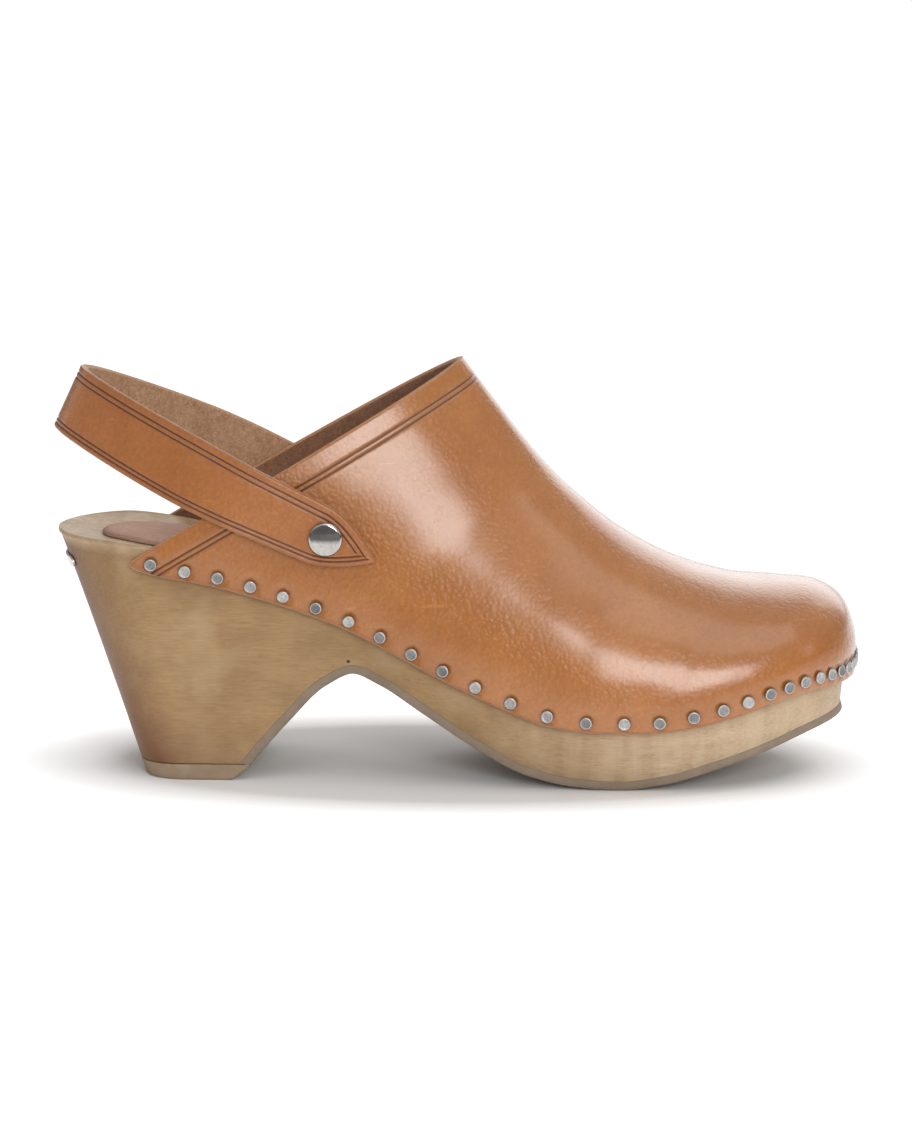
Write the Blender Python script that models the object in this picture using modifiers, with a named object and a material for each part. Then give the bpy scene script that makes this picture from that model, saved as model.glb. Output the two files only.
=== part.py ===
"""High-heeled wooden clog, right foot: a carved sole, a nailed leather upper and a swinging heel strap.

Every size below is in millimetres, and turns into Blender's metres where a mesh is made. +X points to
the toe, +Y to the inner (medial) side and +Z up, with the floor at z = 0.
"""

import math

import bmesh
import bpy
from mathutils import Matrix, Vector
from mathutils.bvhtree import BVHTree

MM = 0.001
GAP = 0.3  # left between pieces that touch

# Plan of the sole's rim. Its round ends are superellipse quarters, and t runs 0..1 round the heel,
# 1..2 along the side and 2..3 round the toe.
HEEL_BACK = -124.8
SEAT_REACH = 29.5
SEAT_HALF = 29.5
SEAT_FRONT = HEEL_BACK + SEAT_REACH
BALL_X = 66.0
BALL_HALF = 41.0
TOE_REACH = 56.6
TOE_POWER = 0.76
SIDE_HALVES = [(SEAT_FRONT, SEAT_HALF), (-65, 28.8), (-38, 28.8), (-8, 32.0), (25, 37.4), (48, 40.4),
               (BALL_X, BALL_HALF)]
CENTRE_LINE = [(-30, 0.0), (0, -0.6), (30, -0.4), (70, 1.6), (100, 3.6), (126, 5.2)]

# Height of the leather's lower edge, and of the rim that it laps over.
WELT_HEIGHTS = [(-101, 70.6), (-96.5, 67.6), (-89, 65.4), (-77, 63.3), (-62, 59.6), (-46.5, 54.8),
                (-31, 48.8), (-15.7, 41.2), (0, 33.4), (15, 26.9), (30.5, 21.6), (46, 20.0), (61, 20.1),
                (76, 22.0), (88.5, 25.0), (100, 28.4), (112, 30.9), (123, 31.4)]
RIM_LAP = 7.0
SEAT_HEIGHT = 76.0
RIM_ROUND = 1.3
RIM_HEIGHTS = [(HEEL_BACK, SEAT_HEIGHT), (-108, 75.8), (-95, 74.4), (-78, 71.4)]

# Underside of the wood, from the heel's front corner over the arch to the toe.
HEEL_TIP_TOP = 5.0
HEEL_FRONT = -66.5
HEEL_FOOT_BACK = -98.9
HEEL_FOOT_HALF = 26.0
HEEL_FOOT_REACH = 14.0
HEEL_FOOT_POWER = 0.45
HEEL_FRONT_RIM = -82.0  # where the section through the heel's front corner meets the rim
ARCH_X = -31.0
UNDERSIDE = [(HEEL_FRONT, HEEL_TIP_TOP + GAP), (-53.4, 20.2), (-41, 32.4), (ARCH_X, 36.8), (-21, 33.0),
             (-8, 25.0), (8, 14.9), (24, 6.8), (38, 3.8), (52, 2.95), (66, 4.75), (80, 8.6), (95, 13.3),
             (108, 18.0), (122, 21.8)]
UNDER_HALVES = [(HEEL_FRONT, HEEL_FOOT_HALF), (-50, 25.0), (ARCH_X, 25.0), (-8, 28.4), (25, 33.0),
                (50, 35.4), (BALL_X, 35.6)]
LOWER_SHIFT = [(SEAT_FRONT, HEEL_FOOT_BACK + HEEL_FOOT_REACH), (HEEL_FRONT_RIM, HEEL_FRONT),
               (ARCH_X, ARCH_X), (0, 0), (BALL_X, BALL_X)]
TOE_UNDERCUT = 1.6
OUTSOLE_THICKNESS = 2.65

# Upper: ridge from the collar's peak over the instep and toe box down to the welt at the toe's tip.
LEATHER = 2.5
FLAP_START = 0.915  # the collar's rear corners, as t along the rim
FLAP_ROUND_ALONG, FLAP_ROUND_UP = 0.010, 0.06  # rounding of those corners, as shares of the patch
TOE_CORNER = 2.45  # where the side edge of the leather patch turns into its toe edge
RIDGE = [(2.2, 129.8), (13.5, 114.6), (28, 96.4), (45, 80.6), (63, 69.0), (84, 61.7), (102, 59.7),
         (113, 58.4), (121.2, 53.2), (125.2, 44.0), (125.7, 37.0), (125.4, 31.4)]
# Shape of the section over the foot, against the share of the way from collar to toe: how much fuller
# than an ellipse its rise and its width are, and how far its lower half swells.
UPPER_RISE = [(0.0, 0.77), (0.5, 0.84), (1.0, 0.95)]
UPPER_WIDTH = [(0.0, 1.05), (0.3, 0.95), (0.6, 0.84), (1.0, 0.8)]
UPPER_BULGE = [(0.0, 0.4), (0.35, 1.4), (0.6, 2.8), (0.85, 2.8), (1.0, 1.4)]
ARCH_COUNT = 30
TURNS = (0.0, 0.09, 0.18, 0.27, 0.36, 0.45, 0.54, 0.63, 0.72, 0.8, 0.87, 0.93, 0.96, 0.985, 1.0)

# Heel strap: a loop in a plane that climbs backwards from the rivets.
PIVOT_X, PIVOT_Z = -38.4, 78.4
STRAP_ANGLE = math.radians(25.0)
STRAP_REACH = 90.4
STRAP_THICKNESS = 2.6
STRAP_INSIDE = 33.0  # inner face of the arms at the rivets
STRAP_TIP = 17.0
STRAP_TAPER = 3.0  # the pointed end starts this far behind the rivet
STRAP_HALVES = [(STRAP_TAPER, 9.3), (20.0, 9.9), (50.0, 10.8), (STRAP_REACH, 10.5)]
STRAP_BEND = [(16, 34.5), (31, 34.1), (45, 31.0), (58, 26.0), (70, 19.9), (80, 13.4), (87.6, 6.6)]

RIVET_CAP_RADIUS = 5.3
RIVET_POST_RADIUS = 2.0
RIVET_HOLE_RADIUS = 2.35
RIVET_DISC_RADIUS = 4.2
RIVET_DISC_THICKNESS = 0.9
RIVET_DISC_TOP = 27.2  # distance of the disc's outer face from the middle, just inside the upper
WASHER_RADIUS = 5.0
WASHER_THICKNESS = 1.0

TACK_LIFT = [(60, 3.0), (104, 4.0)]  # tack centres above the leather's edge, at each x
TACK_HEAD_RADIUS = 1.9
TACK_HEAD_THICKNESS = 0.8
TACK_SHANK = 0.6
TACK_LENGTH = 7.5
TACK_HOLE = 0.85
TACK_FIRST = 8.4
TACK_ROWS = {"lateral": (-1, 11.0), "medial": (1, 22.0)}  # side and pitch
# Share of that pitch at each x: the leather is drawn in closely round the toe.
TACK_SPREAD = [(-70, 0.95), (0, 1.02), (20, 1.1), (45, 1.06), (64, 0.98), (78, 0.84), (92, 0.68), (101, 0.55),
               (110, 0.50), (118, 0.46)]

# Seat pad, and the blank plate round the back of the heel.
PAD_BACK, PAD_FRONT = -111.0, -50.0
PAD_HALF = 18.5
PAD_THICKNESS = 1.3
PLATE_DROPS = (0.108, 0.155)  # its edges as shares of the wall's height
PLATE_SPAN = 0.3
PLATE_THICKNESS = 0.7

HEEL_STEPS, SIDE_STEPS, TOE_STEPS = 9, 22, 12

for old in list(bpy.data.objects):
    bpy.data.objects.remove(old, do_unlink=True)
parts = bpy.data.collections.new("wooden_clog")
rivet_bores = bpy.data.collections.new("rivet_bores")
tack_bores = bpy.data.collections.new("tack_bores")
for group in (parts, rivet_bores, tack_bores):
    bpy.context.scene.collection.children.link(group)
for group in (rivet_bores, tack_bores):
    group.hide_render = True


def material(name, colour, roughness, metallic=0.0):
    made = bpy.data.materials.new(name)
    made.use_nodes = True
    shader = made.node_tree.nodes["Principled BSDF"]
    shader.inputs["Base Color"].default_value = (*colour, 1.0)
    shader.inputs["Roughness"].default_value = roughness
    shader.inputs["Metallic"].default_value = metallic
    made.diffuse_color = (*colour, 1.0)
    return made


def curve(points, x):
    """Monotone cubic through (x, value) points, level beyond its ends."""
    if x <= points[0][0]:
        return points[0][1]
    if x >= points[-1][0]:
        return points[-1][1]
    widths = [b[0] - a[0] for a, b in zip(points, points[1:])]
    slopes = [(b[1] - a[1]) / w for a, b, w in zip(points, points[1:], widths)]
    tangents = [slopes[0]]
    for before, after in zip(slopes, slopes[1:]):
        tangents.append(0.0 if before * after <= 0 else 2 * before * after / (before + after))
    tangents.append(slopes[-1])
    i = max(k for k in range(len(widths)) if points[k][0] <= x)
    u = (x - points[i][0]) / widths[i]
    rise = points[i + 1][1] - points[i][1]
    start, end = tangents[i] * widths[i], tangents[i + 1] * widths[i]
    return points[i][1] + u * start + u * u * (3 * rise - 2 * start - end) + u**3 * (start + end - 2 * rise)


def path(points, u):
    """Catmull-Rom curve through the points, for u from 0 to 1 in equal shares of chord length."""
    spots = [Vector(p) for p in points]
    lengths = [0.0]
    for a, b in zip(spots, spots[1:]):
        lengths.append(lengths[-1] + (b - a).length)
    along = u * lengths[-1]
    i = min(len(spots) - 2, sum(length < along for length in lengths[1:]))
    a, b = spots[i], spots[i + 1]
    span = lengths[i + 1] - lengths[i]
    before, after = spots[max(i - 1, 0)], spots[min(i + 2, len(spots) - 1)]
    start = (b - before) * span / (lengths[i + 1] - lengths[max(i - 1, 0)])
    end = (after - a) * span / (lengths[min(i + 2, len(spots) - 1)] - lengths[i])
    f = (along - lengths[i]) / span
    return a + f * start + f * f * (3 * (b - a) - 2 * start - end) + f**3 * (start + end - 2 * (b - a))


def mix(a, b, u):
    return a + (b - a) * u


def centre(x):
    return curve(CENTRE_LINE, x)


def outline(t, offset=0.0):
    """(x, half width) of the rim's plan at t, grown outward by the offset."""
    if t < 1:
        angle = (1 - t) * math.pi / 2
        return SEAT_FRONT - (SEAT_REACH + offset) * math.sin(angle), (SEAT_HALF + offset) * math.cos(angle)
    if t <= 2:
        x = mix(SEAT_FRONT, BALL_X, t - 1)
        return x, curve(SIDE_HALVES, x) + offset
    angle = min(t - 2, 1) * math.pi / 2
    wide = max(math.cos(angle), 0.0) ** TOE_POWER
    return BALL_X + (TOE_REACH + offset) * math.sin(angle), (BALL_HALF + offset) * wide


def half_at(x, offset):
    """Half width of the rim's plan where it crosses x, in front of the seat."""
    if x <= BALL_X:
        return curve(SIDE_HALVES, x) + offset
    share = min(1.0, (x - BALL_X) / (TOE_REACH + offset))
    return (BALL_HALF + offset) * (1 - share * share) ** (TOE_POWER / 2)


def rim_height(x):
    if x < RIM_HEIGHTS[-1][0]:
        return curve(RIM_HEIGHTS, x)
    settled = min(1.0, (x - RIM_HEIGHTS[-1][0]) / 20)
    seat_lap = RIM_HEIGHTS[-1][1] - curve(WELT_HEIGHTS, RIM_HEIGHTS[-1][0])
    return curve(WELT_HEIGHTS, x) + mix(seat_lap, RIM_LAP, settled)


def underside(t):
    """(x, z, half width) of the wood's lower edge at t."""
    x_rim = outline(t)[0]
    if t < 1:
        angle = (1 - t) * math.pi / 2
        back = HEEL_FOOT_BACK + HEEL_FOOT_REACH * (1 - math.sin(angle))
        return back, HEEL_TIP_TOP + GAP, HEEL_FOOT_HALF * max(math.cos(angle), 0.0) ** HEEL_FOOT_POWER
    if t <= 2:
        x = curve(LOWER_SHIFT, x_rim)
        return x, curve(UNDERSIDE, x), curve(UNDER_HALVES, x)
    angle = min(t - 2, 1) * math.pi / 2
    x = BALL_X + (TOE_REACH - TOE_UNDERCUT) * math.sin(angle)
    wide = max(math.cos(angle), 0.0) ** TOE_POWER
    return x, curve(UNDERSIDE, x), UNDER_HALVES[-1][1] * wide


def wall(t, side, drop):
    """Point on the wood's side wall: drop runs from 0 at the rim to 1 at the lower edge."""
    x_rim, half_rim = outline(t)
    x_low, z_low, half_low = underside(t)
    fullness = curve([(-60, 1.12), (10, 3.0)], x_rim)
    half = mix(half_rim, half_low, drop**fullness)
    x = mix(x_rim, x_low, drop**0.96)
    return Vector((x, centre(x_rim) + side * half, mix(rim_height(x_rim), z_low, drop)))


def footbed(x, y_share):
    """Height of the footbed where the line across it is cut at this share of the half width."""
    dish = curve([(-122, 0.0), (-106, 2.6), (-60, 2.8), (BALL_X, 1.6), (118, 0.2)], x)
    return rim_height(x) - dish * (1 - y_share * y_share)


def stations(start, corner=None):
    """Values of t from the start to the toe's tip, closer together where the plan is round."""
    heel = [k / HEEL_STEPS for k in range(HEEL_STEPS)]
    side = [1 + k / SIDE_STEPS for k in range(SIDE_STEPS)]
    toe = [2 + k / TOE_STEPS for k in range(TOE_STEPS + 1)]
    fixed = {start, corner or start}
    spread = {t for t in heel + side + toe if t > start and min(abs(t - f) for f in fixed) > 0.012}
    return sorted(fixed | spread)


def skin(bm, rings, closed=True):
    """Joins neighbouring rings of points with faces and returns the vertices, ring by ring."""
    rows = [[bm.verts.new(point) for point in ring] for ring in rings]
    count = len(rows[0])
    for a, b in zip(rows, rows[1:]):
        for k in range(count if closed else count - 1):
            n = (k + 1) % count
            bm.faces.new((a[k], a[n], b[n], b[k]))
    return rows


def add_object(name, bm, look, sharp_angle=35.0, origin=(0.0, 0.0, 0.0)):
    """Makes the object from a millimetre mesh, merging the points that lie on one another."""
    bmesh.ops.remove_doubles(bm, verts=bm.verts, dist=0.001)
    bmesh.ops.recalc_face_normals(bm, faces=bm.faces)
    if bm.calc_volume(signed=True) < 0:
        bmesh.ops.reverse_faces(bm, faces=bm.faces)
    bmesh.ops.translate(bm, verts=bm.verts, vec=-Vector(origin))
    bmesh.ops.scale(bm, verts=bm.verts, vec=(MM, MM, MM))
    data = bpy.data.meshes.new(name)
    bm.to_mesh(data)
    bm.free()
    data.materials.append(look)
    data.polygons.foreach_set("use_smooth", [True] * len(data.polygons))
    data.set_sharp_from_angle(angle=math.radians(sharp_angle))
    made = bpy.data.objects.new(name, data)
    made.location = Vector(origin) * MM
    parts.objects.link(made)
    return made


def cut(target, group):
    """Takes the group's cutters out of the target."""
    hole = target.modifiers.new(group.name, "BOOLEAN")
    hole.operand_type = "COLLECTION"
    hole.collection = group
    hole.operation = "DIFFERENCE"
    hole.solver = "MANIFOLD"


def outline_mesh(name, profile, look):
    """Mesh of a profile of (radius, height) pairs, which runs down the outer side from the top."""
    closed = profile[0] == profile[-1]
    points = [(radius * MM, 0.0, height * MM) for radius, height in (profile[:-1] if closed else profile)]
    edges = [(k, (k + 1) % len(points)) for k in range(len(profile) - 1)]
    data = bpy.data.meshes.new(name)
    data.from_pydata(points, edges, [])
    data.materials.append(look)
    return data


def add_turned(name, data, steps, frame, group=parts):
    """Turns a profile's mesh about the frame's +Z."""
    made = bpy.data.objects.new(name, data)
    made.matrix_world = Matrix.Translation(frame.translation * MM) @ frame.to_3x3().to_4x4()
    group.objects.link(made)
    if group is not parts:
        made.display_type = "WIRE"
    screw = made.modifiers.new("turned", "SCREW")
    screw.steps = screw.render_steps = steps
    screw.use_merge_vertices = True
    screw.merge_threshold = 0.01 * MM
    return made


def facing(point, direction):
    """Frame at the point whose +Z runs along the direction and whose +X stays as level as it can."""
    z = Vector(direction).normalized()
    x = z.cross(Vector((0, 0, 1))).normalized()
    turn = Matrix((x, z.cross(x), z)).transposed().to_4x4()
    return Matrix.Translation(point) @ turn


# Materials, one for each sub-part's stuff.
pale_wood = material("pale_wood", (0.42, 0.27, 0.14), 0.55)
tan_leather = material("tan_leather", (0.40, 0.155, 0.055), 0.38)
strap_leather = material("strap_leather", (0.38, 0.145, 0.05), 0.42)
grey_rubber = material("grey_rubber", (0.24, 0.18, 0.135), 0.8)
heel_rubber = material("heel_rubber", (0.26, 0.17, 0.10), 0.7)
pad_leather = material("pad_leather", (0.42, 0.26, 0.19), 0.7)
chrome = material("chrome", (0.85, 0.83, 0.80), 0.08, 1.0)
steel = material("steel", (0.45, 0.45, 0.46), 0.35, 1.0)
plate_metal = material("plate_metal", (0.55, 0.53, 0.50), 0.4, 1.0)
cutter_look = material("cutter", (1.0, 0.2, 0.2), 0.5)


def sole_ring(t):
    """Closed section of the wood at t: up the lateral wall, over the footbed, down and underneath."""
    x_rim, half = outline(t)
    drops = [1.0, 0.9, 0.74, 0.52, 0.28, RIM_ROUND / (rim_height(x_rim) - underside(t)[1])]
    ring = [wall(t, -1, drop) for drop in drops]
    for share in (-0.96, -0.72, -0.38, 0.0, 0.38, 0.72, 0.96):
        ring.append(Vector((x_rim, centre(x_rim) + share * half, footbed(x_rim, share))))
    ring += [wall(t, 1, drop) for drop in reversed(drops)]
    low_lateral, low_medial = ring[0], ring[-1]
    ring += [low_medial.lerp(low_lateral, share) for share in (0.25, 0.5, 0.75)]
    return ring


corner_t = 1 + (HEEL_FRONT_RIM - SEAT_FRONT) / (BALL_X - SEAT_FRONT)
bm = bmesh.new()
skin(bm, [sole_ring(t) for t in stations(0.0, corner_t)])
wooden_sole = add_object("wooden_sole", bm, pale_wood, sharp_angle=40.0)


def outsole_ring(t):
    """Section of the sheet under the wood at t, square to the underside and trimmed level at the heel."""
    x, z, half = underside(t)
    step = 0.5
    slope = curve(UNDERSIDE, x + step) - curve(UNDERSIDE, x - (0 if t <= corner_t else step))
    run = step if t <= corner_t else 2 * step
    along = Vector((run, 0.0, slope)).normalized()
    down = Vector((along.z, 0.0, -along.x))
    y = centre(outline(t)[0])
    levels = []
    for depth in (GAP, GAP + OUTSOLE_THICKNESS):
        point = Vector((x, 0.0, z)) + down * depth
        short = HEEL_TIP_TOP + GAP - point.z if t <= corner_t else 0.0
        levels.append(point + along * max(0.0, short / max(along.z, 0.1)))
    upper_level, lower_level = levels
    lower_half = half * (1 - 0.7 / BALL_HALF)
    ring = [Vector((upper_level.x, y + share * half, upper_level.z)) for share in (-1, 0, 1)]
    ring += [Vector((lower_level.x, y + share * lower_half, lower_level.z)) for share in (1, 0, -1)]
    return ring


bm = bmesh.new()
rows = skin(bm, [outsole_ring(t) for t in stations(corner_t)])
bm.faces.new(rows[0])
outsole = add_object("outsole", bm, grey_rubber)


def heel_tip_ring(z, front, inset):
    """Level outline of the heel tip: its round back, then straight to the front edge."""
    back = mix(HEEL_FOOT_BACK + 1.6, HEEL_FOOT_BACK, z / HEEL_TIP_TOP) + inset
    half = HEEL_FOOT_HALF - inset
    ring = []
    for k in range(-8, 9):
        angle = (1 - abs(k) / 8) * math.pi / 2
        wide = half * max(math.cos(angle), 0.0) ** HEEL_FOOT_POWER
        ring.append(Vector((back + HEEL_FOOT_REACH * (1 - math.sin(angle)), math.copysign(wide, k), z)))
    return ring + [Vector((front - inset, y, z)) for y in (half, 0.0, -half)]


bm = bmesh.new()
levels = [(0.0, HEEL_FRONT - 2.2, 0.5), (0.6, HEEL_FRONT - 1.4, 0.0), (3.2, HEEL_FRONT + 1.6, 0.0),
          (HEEL_TIP_TOP, HEEL_FRONT + 3.9, 0.0)]
rows = skin(bm, [heel_tip_ring(*level) for level in levels])
bm.faces.new(rows[0])
bm.faces.new(rows[-1])
heel_tip = add_object("heel_tip", bm, heel_rubber)


def pad_ring(angle):
    """Section of the oval seat pad, which follows the footbed, at this turn from its back end."""
    x = mix(PAD_BACK, PAD_FRONT, (1 - math.cos(angle)) / 2)
    half = PAD_HALF * max(math.sin(angle), 0.0) ** 0.85
    seat_half = curve(SIDE_HALVES, x)
    if x < SEAT_FRONT:
        seat_half = SEAT_HALF * math.sqrt(1 - ((SEAT_FRONT - x) / SEAT_REACH) ** 2)
    ring = []
    for lift, shares in ((GAP, (-1, -0.5, 0, 0.5, 1)), (GAP + PAD_THICKNESS, (1, 0.5, 0, -0.5, -1))):
        for share in shares:
            y = centre(x) + share * half
            ring.append(Vector((x, y, footbed(x, share * half / seat_half) + lift)))
    return ring


bm = bmesh.new()
skin(bm, [pad_ring(math.pi * k / 20) for k in range(21)])
seat_pad = add_object("seat_pad", bm, pad_leather)


def plate_point(turn, drop, lift):
    """Point over the heel's back wall: turn runs from -1 on the lateral side to 1 on the medial side."""
    side = math.copysign(1, turn)
    here = wall(abs(turn) * PLATE_SPAN, side, drop)
    across = wall(abs(turn) * PLATE_SPAN + 0.02, side, drop) - here
    up = wall(abs(turn) * PLATE_SPAN, side, drop - 0.02) - here
    out = across.cross(up) * side
    if out.x > 0:
        out = -out
    return here + out.normalized() * lift


plate_section = [(PLATE_DROPS[0], GAP), (PLATE_DROPS[0], GAP + PLATE_THICKNESS),
                 (PLATE_DROPS[1], GAP + PLATE_THICKNESS), (PLATE_DROPS[1], GAP)]
bm = bmesh.new()
rows = skin(bm, [[plate_point(k / 6, *corner) for corner in plate_section] for k in range(-6, 7)])
bm.faces.new(rows[0])
bm.faces.new(rows[-1])
heel_plate = add_object("heel_plate", bm, plate_metal)


def welt_point(t, side, offset):
    """Point on the leather's lower edge, this far out from the wood."""
    x, half = outline(t, offset)
    return Vector((x, centre(x) + side * half, curve(WELT_HEIGHTS, x)))


def over_foot(foot, ridge, rise, lean, rounding):
    """Point on an arch from the foot of the leather to its ridge, before it swells to follow the wood."""
    angle = math.pi / 2 * rise ** (1 / lean)
    up = math.sin(angle) ** lean
    wide = max(math.cos(angle), 0.0) ** rounding
    half = foot.y - centre(foot.x)
    middle = mix(centre(foot.x), centre(ridge[0]), up)
    return Vector((mix(foot.x, ridge[0], up), middle + half * wide, mix(foot.z, ridge[1], up))), up, wide


def upper_point(s, turn, offset=GAP + LEATHER):
    """Point on the leather's outer face: s runs from collar to toe, turn from -1 over the ridge to 1."""
    side = math.copysign(1, turn)
    rise = 1 - abs(turn)
    foot = welt_point(mix(FLAP_START, TOE_CORNER, s), side, offset)
    ridge = path(RIDGE, curve([(0.0, 0.0), (0.5, 0.42), (1.0, 1.0)], s))
    point, up, wide = over_foot(foot, ridge, rise, curve(UPPER_RISE, s), curve(UPPER_WIDTH, s))
    half = abs(foot.y - centre(foot.x))
    swell = max(0.0, half_at(point.x, offset) - half) * (1 - up)
    swell += curve(UPPER_BULGE, s) * 4 * rise * max(0.0, 0.8 - rise)
    point.y += side * swell * wide
    if s > 0.5:
        last_foot = welt_point(TOE_CORNER, side, offset)
        on_arch = over_foot(last_foot, path(RIDGE, 1.0), rise, UPPER_RISE[-1][1], UPPER_WIDTH[-1][1])[0]
        on_welt = welt_point(mix(TOE_CORNER, 3.0, rise), side, offset)
        point += (on_welt - on_arch) * ((s - 0.5) / 0.5) ** 5
    return point


def trimmed(s, turn):
    """The same s, moved forward at the collar's rear corners so that they come out round."""
    near = max(0.0, 1 - (1 - abs(turn)) / FLAP_ROUND_UP)
    return s + FLAP_ROUND_ALONG * (1 - math.sqrt(1 - near * near)) * max(0.0, 1 - s / 0.2)


bm = bmesh.new()
rows = []
for i in range(ARCH_COUNT + 1):
    s = 1 - (1 - i / ARCH_COUNT) ** 1.3
    turns = [-turn for turn in reversed(TURNS[1:])] + list(TURNS)
    rows.append([upper_point(trimmed(s, turn), turn) for turn in turns])
skin(bm, rows, closed=False)
bm.normal_update()
if sum(face.normal.z for face in bm.faces) < 0:
    bmesh.ops.reverse_faces(bm, faces=bm.faces)
bm.normal_update()
leather_face = BVHTree.FromBMesh(bm)
bmesh.ops.scale(bm, verts=bm.verts, vec=(MM, MM, MM))
data = bpy.data.meshes.new("upper")
bm.to_mesh(data)
bm.free()
data.materials.append(tan_leather)
data.polygons.foreach_set("use_smooth", [True] * len(data.polygons))
upper = bpy.data.objects.new("upper", data)
parts.objects.link(upper)
shell = upper.modifiers.new("leather", "SOLIDIFY")
shell.thickness = LEATHER * MM
shell.offset = -1.0
shell.use_even_offset = True


# Strap loop, in its own plane: u backwards from the rivets, v across the band.
BACKWARD = Vector((-math.cos(STRAP_ANGLE), 0.0, math.sin(STRAP_ANGLE)))
ACROSS = Vector((math.sin(STRAP_ANGLE), 0.0, math.cos(STRAP_ANGLE)))
PIVOT = Vector((PIVOT_X, 0.0, PIVOT_Z))
STRAP_MIDDLE = STRAP_INSIDE + STRAP_THICKNESS / 2
STRAP_LOOP = [(0.0, STRAP_MIDDLE)] + STRAP_BEND + [(STRAP_REACH, 0.0)]
STRAP_LOOP += [(u, -y) for u, y in reversed(STRAP_LOOP[:-1])]


def strap_line(share):
    """(u, y) along the medial half of the loop, from the rivet to the middle of the back."""
    return path(STRAP_LOOP, share / 2)


def strap_ring(u, y, along, half, side):
    """Section of the band: a rectangle with its corners taken off, inner face first."""
    out = Vector((along[1], -along[0])) if along[0] <= 0 else Vector((-along[1], along[0]))
    corner = 0.5
    shapes = []
    for v, depth in ((-half + corner, -1), (half - corner, -1), (half, -0.6), (half, 0.6),
                     (half - corner, 1), (-half + corner, 1), (-half, 0.6), (-half, -0.6)):
        lift = depth * STRAP_THICKNESS / 2
        point = PIVOT + BACKWARD * (u + out.x * lift) + ACROSS * v
        point.y = side * (y + out.y * lift)
        shapes.append(point)
    return shapes


def strap_half(side):
    """Sections from the pointed end to just before the middle of the back."""
    rings = []
    for k in range(9):
        point = 1 - (k / 9) ** 1.2
        spread = max(0.6, STRAP_HALVES[0][1] * (1 - point**1.6))
        u = STRAP_TAPER - (STRAP_TIP + STRAP_TAPER) * point
        rings.append(strap_ring(u, STRAP_MIDDLE, (1.0, 0.0), spread, side))
    for k in range(1, 24):
        share = k / 24
        u, y = strap_line(share)
        u_next, y_next = strap_line(share + 0.01)
        along = Vector((u_next - u, y_next - y)).normalized()
        rings.append(strap_ring(u, y, along, curve(STRAP_HALVES, u), side))
    return rings


lateral, medial = strap_half(-1), strap_half(1)
back = strap_ring(STRAP_REACH, 0.0, (0.0, -1.0), STRAP_HALVES[-1][1], 1)
bm = bmesh.new()
rows = skin(bm, lateral + [back] + medial[::-1])
bm.faces.new(rows[0])
bm.faces.new(rows[-1])
heel_strap = add_object("heel_strap", bm, strap_leather, origin=(PIVOT_X, 0.0, PIVOT_Z))


def on_pivot(side, distance):
    """Frame on the strap's pivot axis at this distance from the middle, with +Z outward."""
    return facing((PIVOT_X, side * distance, PIVOT_Z), (0, side, 0))


# Rivets: cap outside the strap, washer between strap and upper, post with a disc inside the upper.
cap_base = STRAP_INSIDE + STRAP_THICKNESS + GAP
disc_base = RIVET_DISC_TOP - RIVET_DISC_THICKNESS
post_length = cap_base - GAP - disc_base
washer_base = STRAP_INSIDE - GAP - WASHER_THICKNESS
cap_profile = [(0.0, 2.3), (RIVET_CAP_RADIUS - 3.4, 2.15), (RIVET_CAP_RADIUS - 1.5, 1.7),
               (RIVET_CAP_RADIUS - 0.3, 1.0), (RIVET_CAP_RADIUS, 0.5), (RIVET_CAP_RADIUS - 0.5, 0.0),
               (0.0, 0.0)]
post_profile = [(0.0, post_length), (RIVET_POST_RADIUS, post_length),
                (RIVET_POST_RADIUS, RIVET_DISC_THICKNESS), (RIVET_DISC_RADIUS, RIVET_DISC_THICKNESS),
                (RIVET_DISC_RADIUS, 0.0), (0.0, 0.0)]
washer_profile = [(WASHER_RADIUS, WASHER_THICKNESS), (WASHER_RADIUS, 0.0), (RIVET_HOLE_RADIUS, 0.0),
                  (RIVET_HOLE_RADIUS, WASHER_THICKNESS), (WASHER_RADIUS, WASHER_THICKNESS)]
cap_outline = outline_mesh("rivet_cap", cap_profile, chrome)
post_outline = outline_mesh("rivet_post", post_profile, steel)
washer_outline = outline_mesh("rivet_washer", washer_profile, steel)
for name, side in (("lateral", -1), ("medial", 1)):
    add_turned("rivet_cap_" + name, cap_outline, 32, on_pivot(side, cap_base))
    add_turned("rivet_post_" + name, post_outline, 20, on_pivot(side, disc_base))
    add_turned("rivet_washer_" + name, washer_outline, 24, on_pivot(side, washer_base))
bore_profile = [(0.0, 60.0), (RIVET_HOLE_RADIUS, 60.0), (RIVET_HOLE_RADIUS, -60.0), (0.0, -60.0)]
bore_outline = outline_mesh("rivet_bore", bore_profile, cutter_look)
add_turned("rivet_bore", bore_outline, 20, on_pivot(1, 0.0), rivet_bores)
cut(upper, rivet_bores)
cut(heel_strap, rivet_bores)


# Tacks: nailed through the leather's edge into the wood, all round.
def tack_frame(t, side):
    """Frame on the leather's outer face above its edge, with +Z outward."""
    ahead = welt_point(min(t + 0.01, 3.0), side, 0) - welt_point(t - 0.01, side, 0)
    out = Vector((1.0, 0.0, 0.0))
    if t < 3.0:
        out = Vector((-side * ahead.y, side * ahead.x, 0.0)).normalized()
    edge = welt_point(t, side, GAP + LEATHER)
    above = edge + Vector((0, 0, curve(TACK_LIFT, edge.x)))
    hit, normal = leather_face.ray_cast(above + out * 10, -out)[:2]
    return facing(hit, out * 2 + normal)


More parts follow.
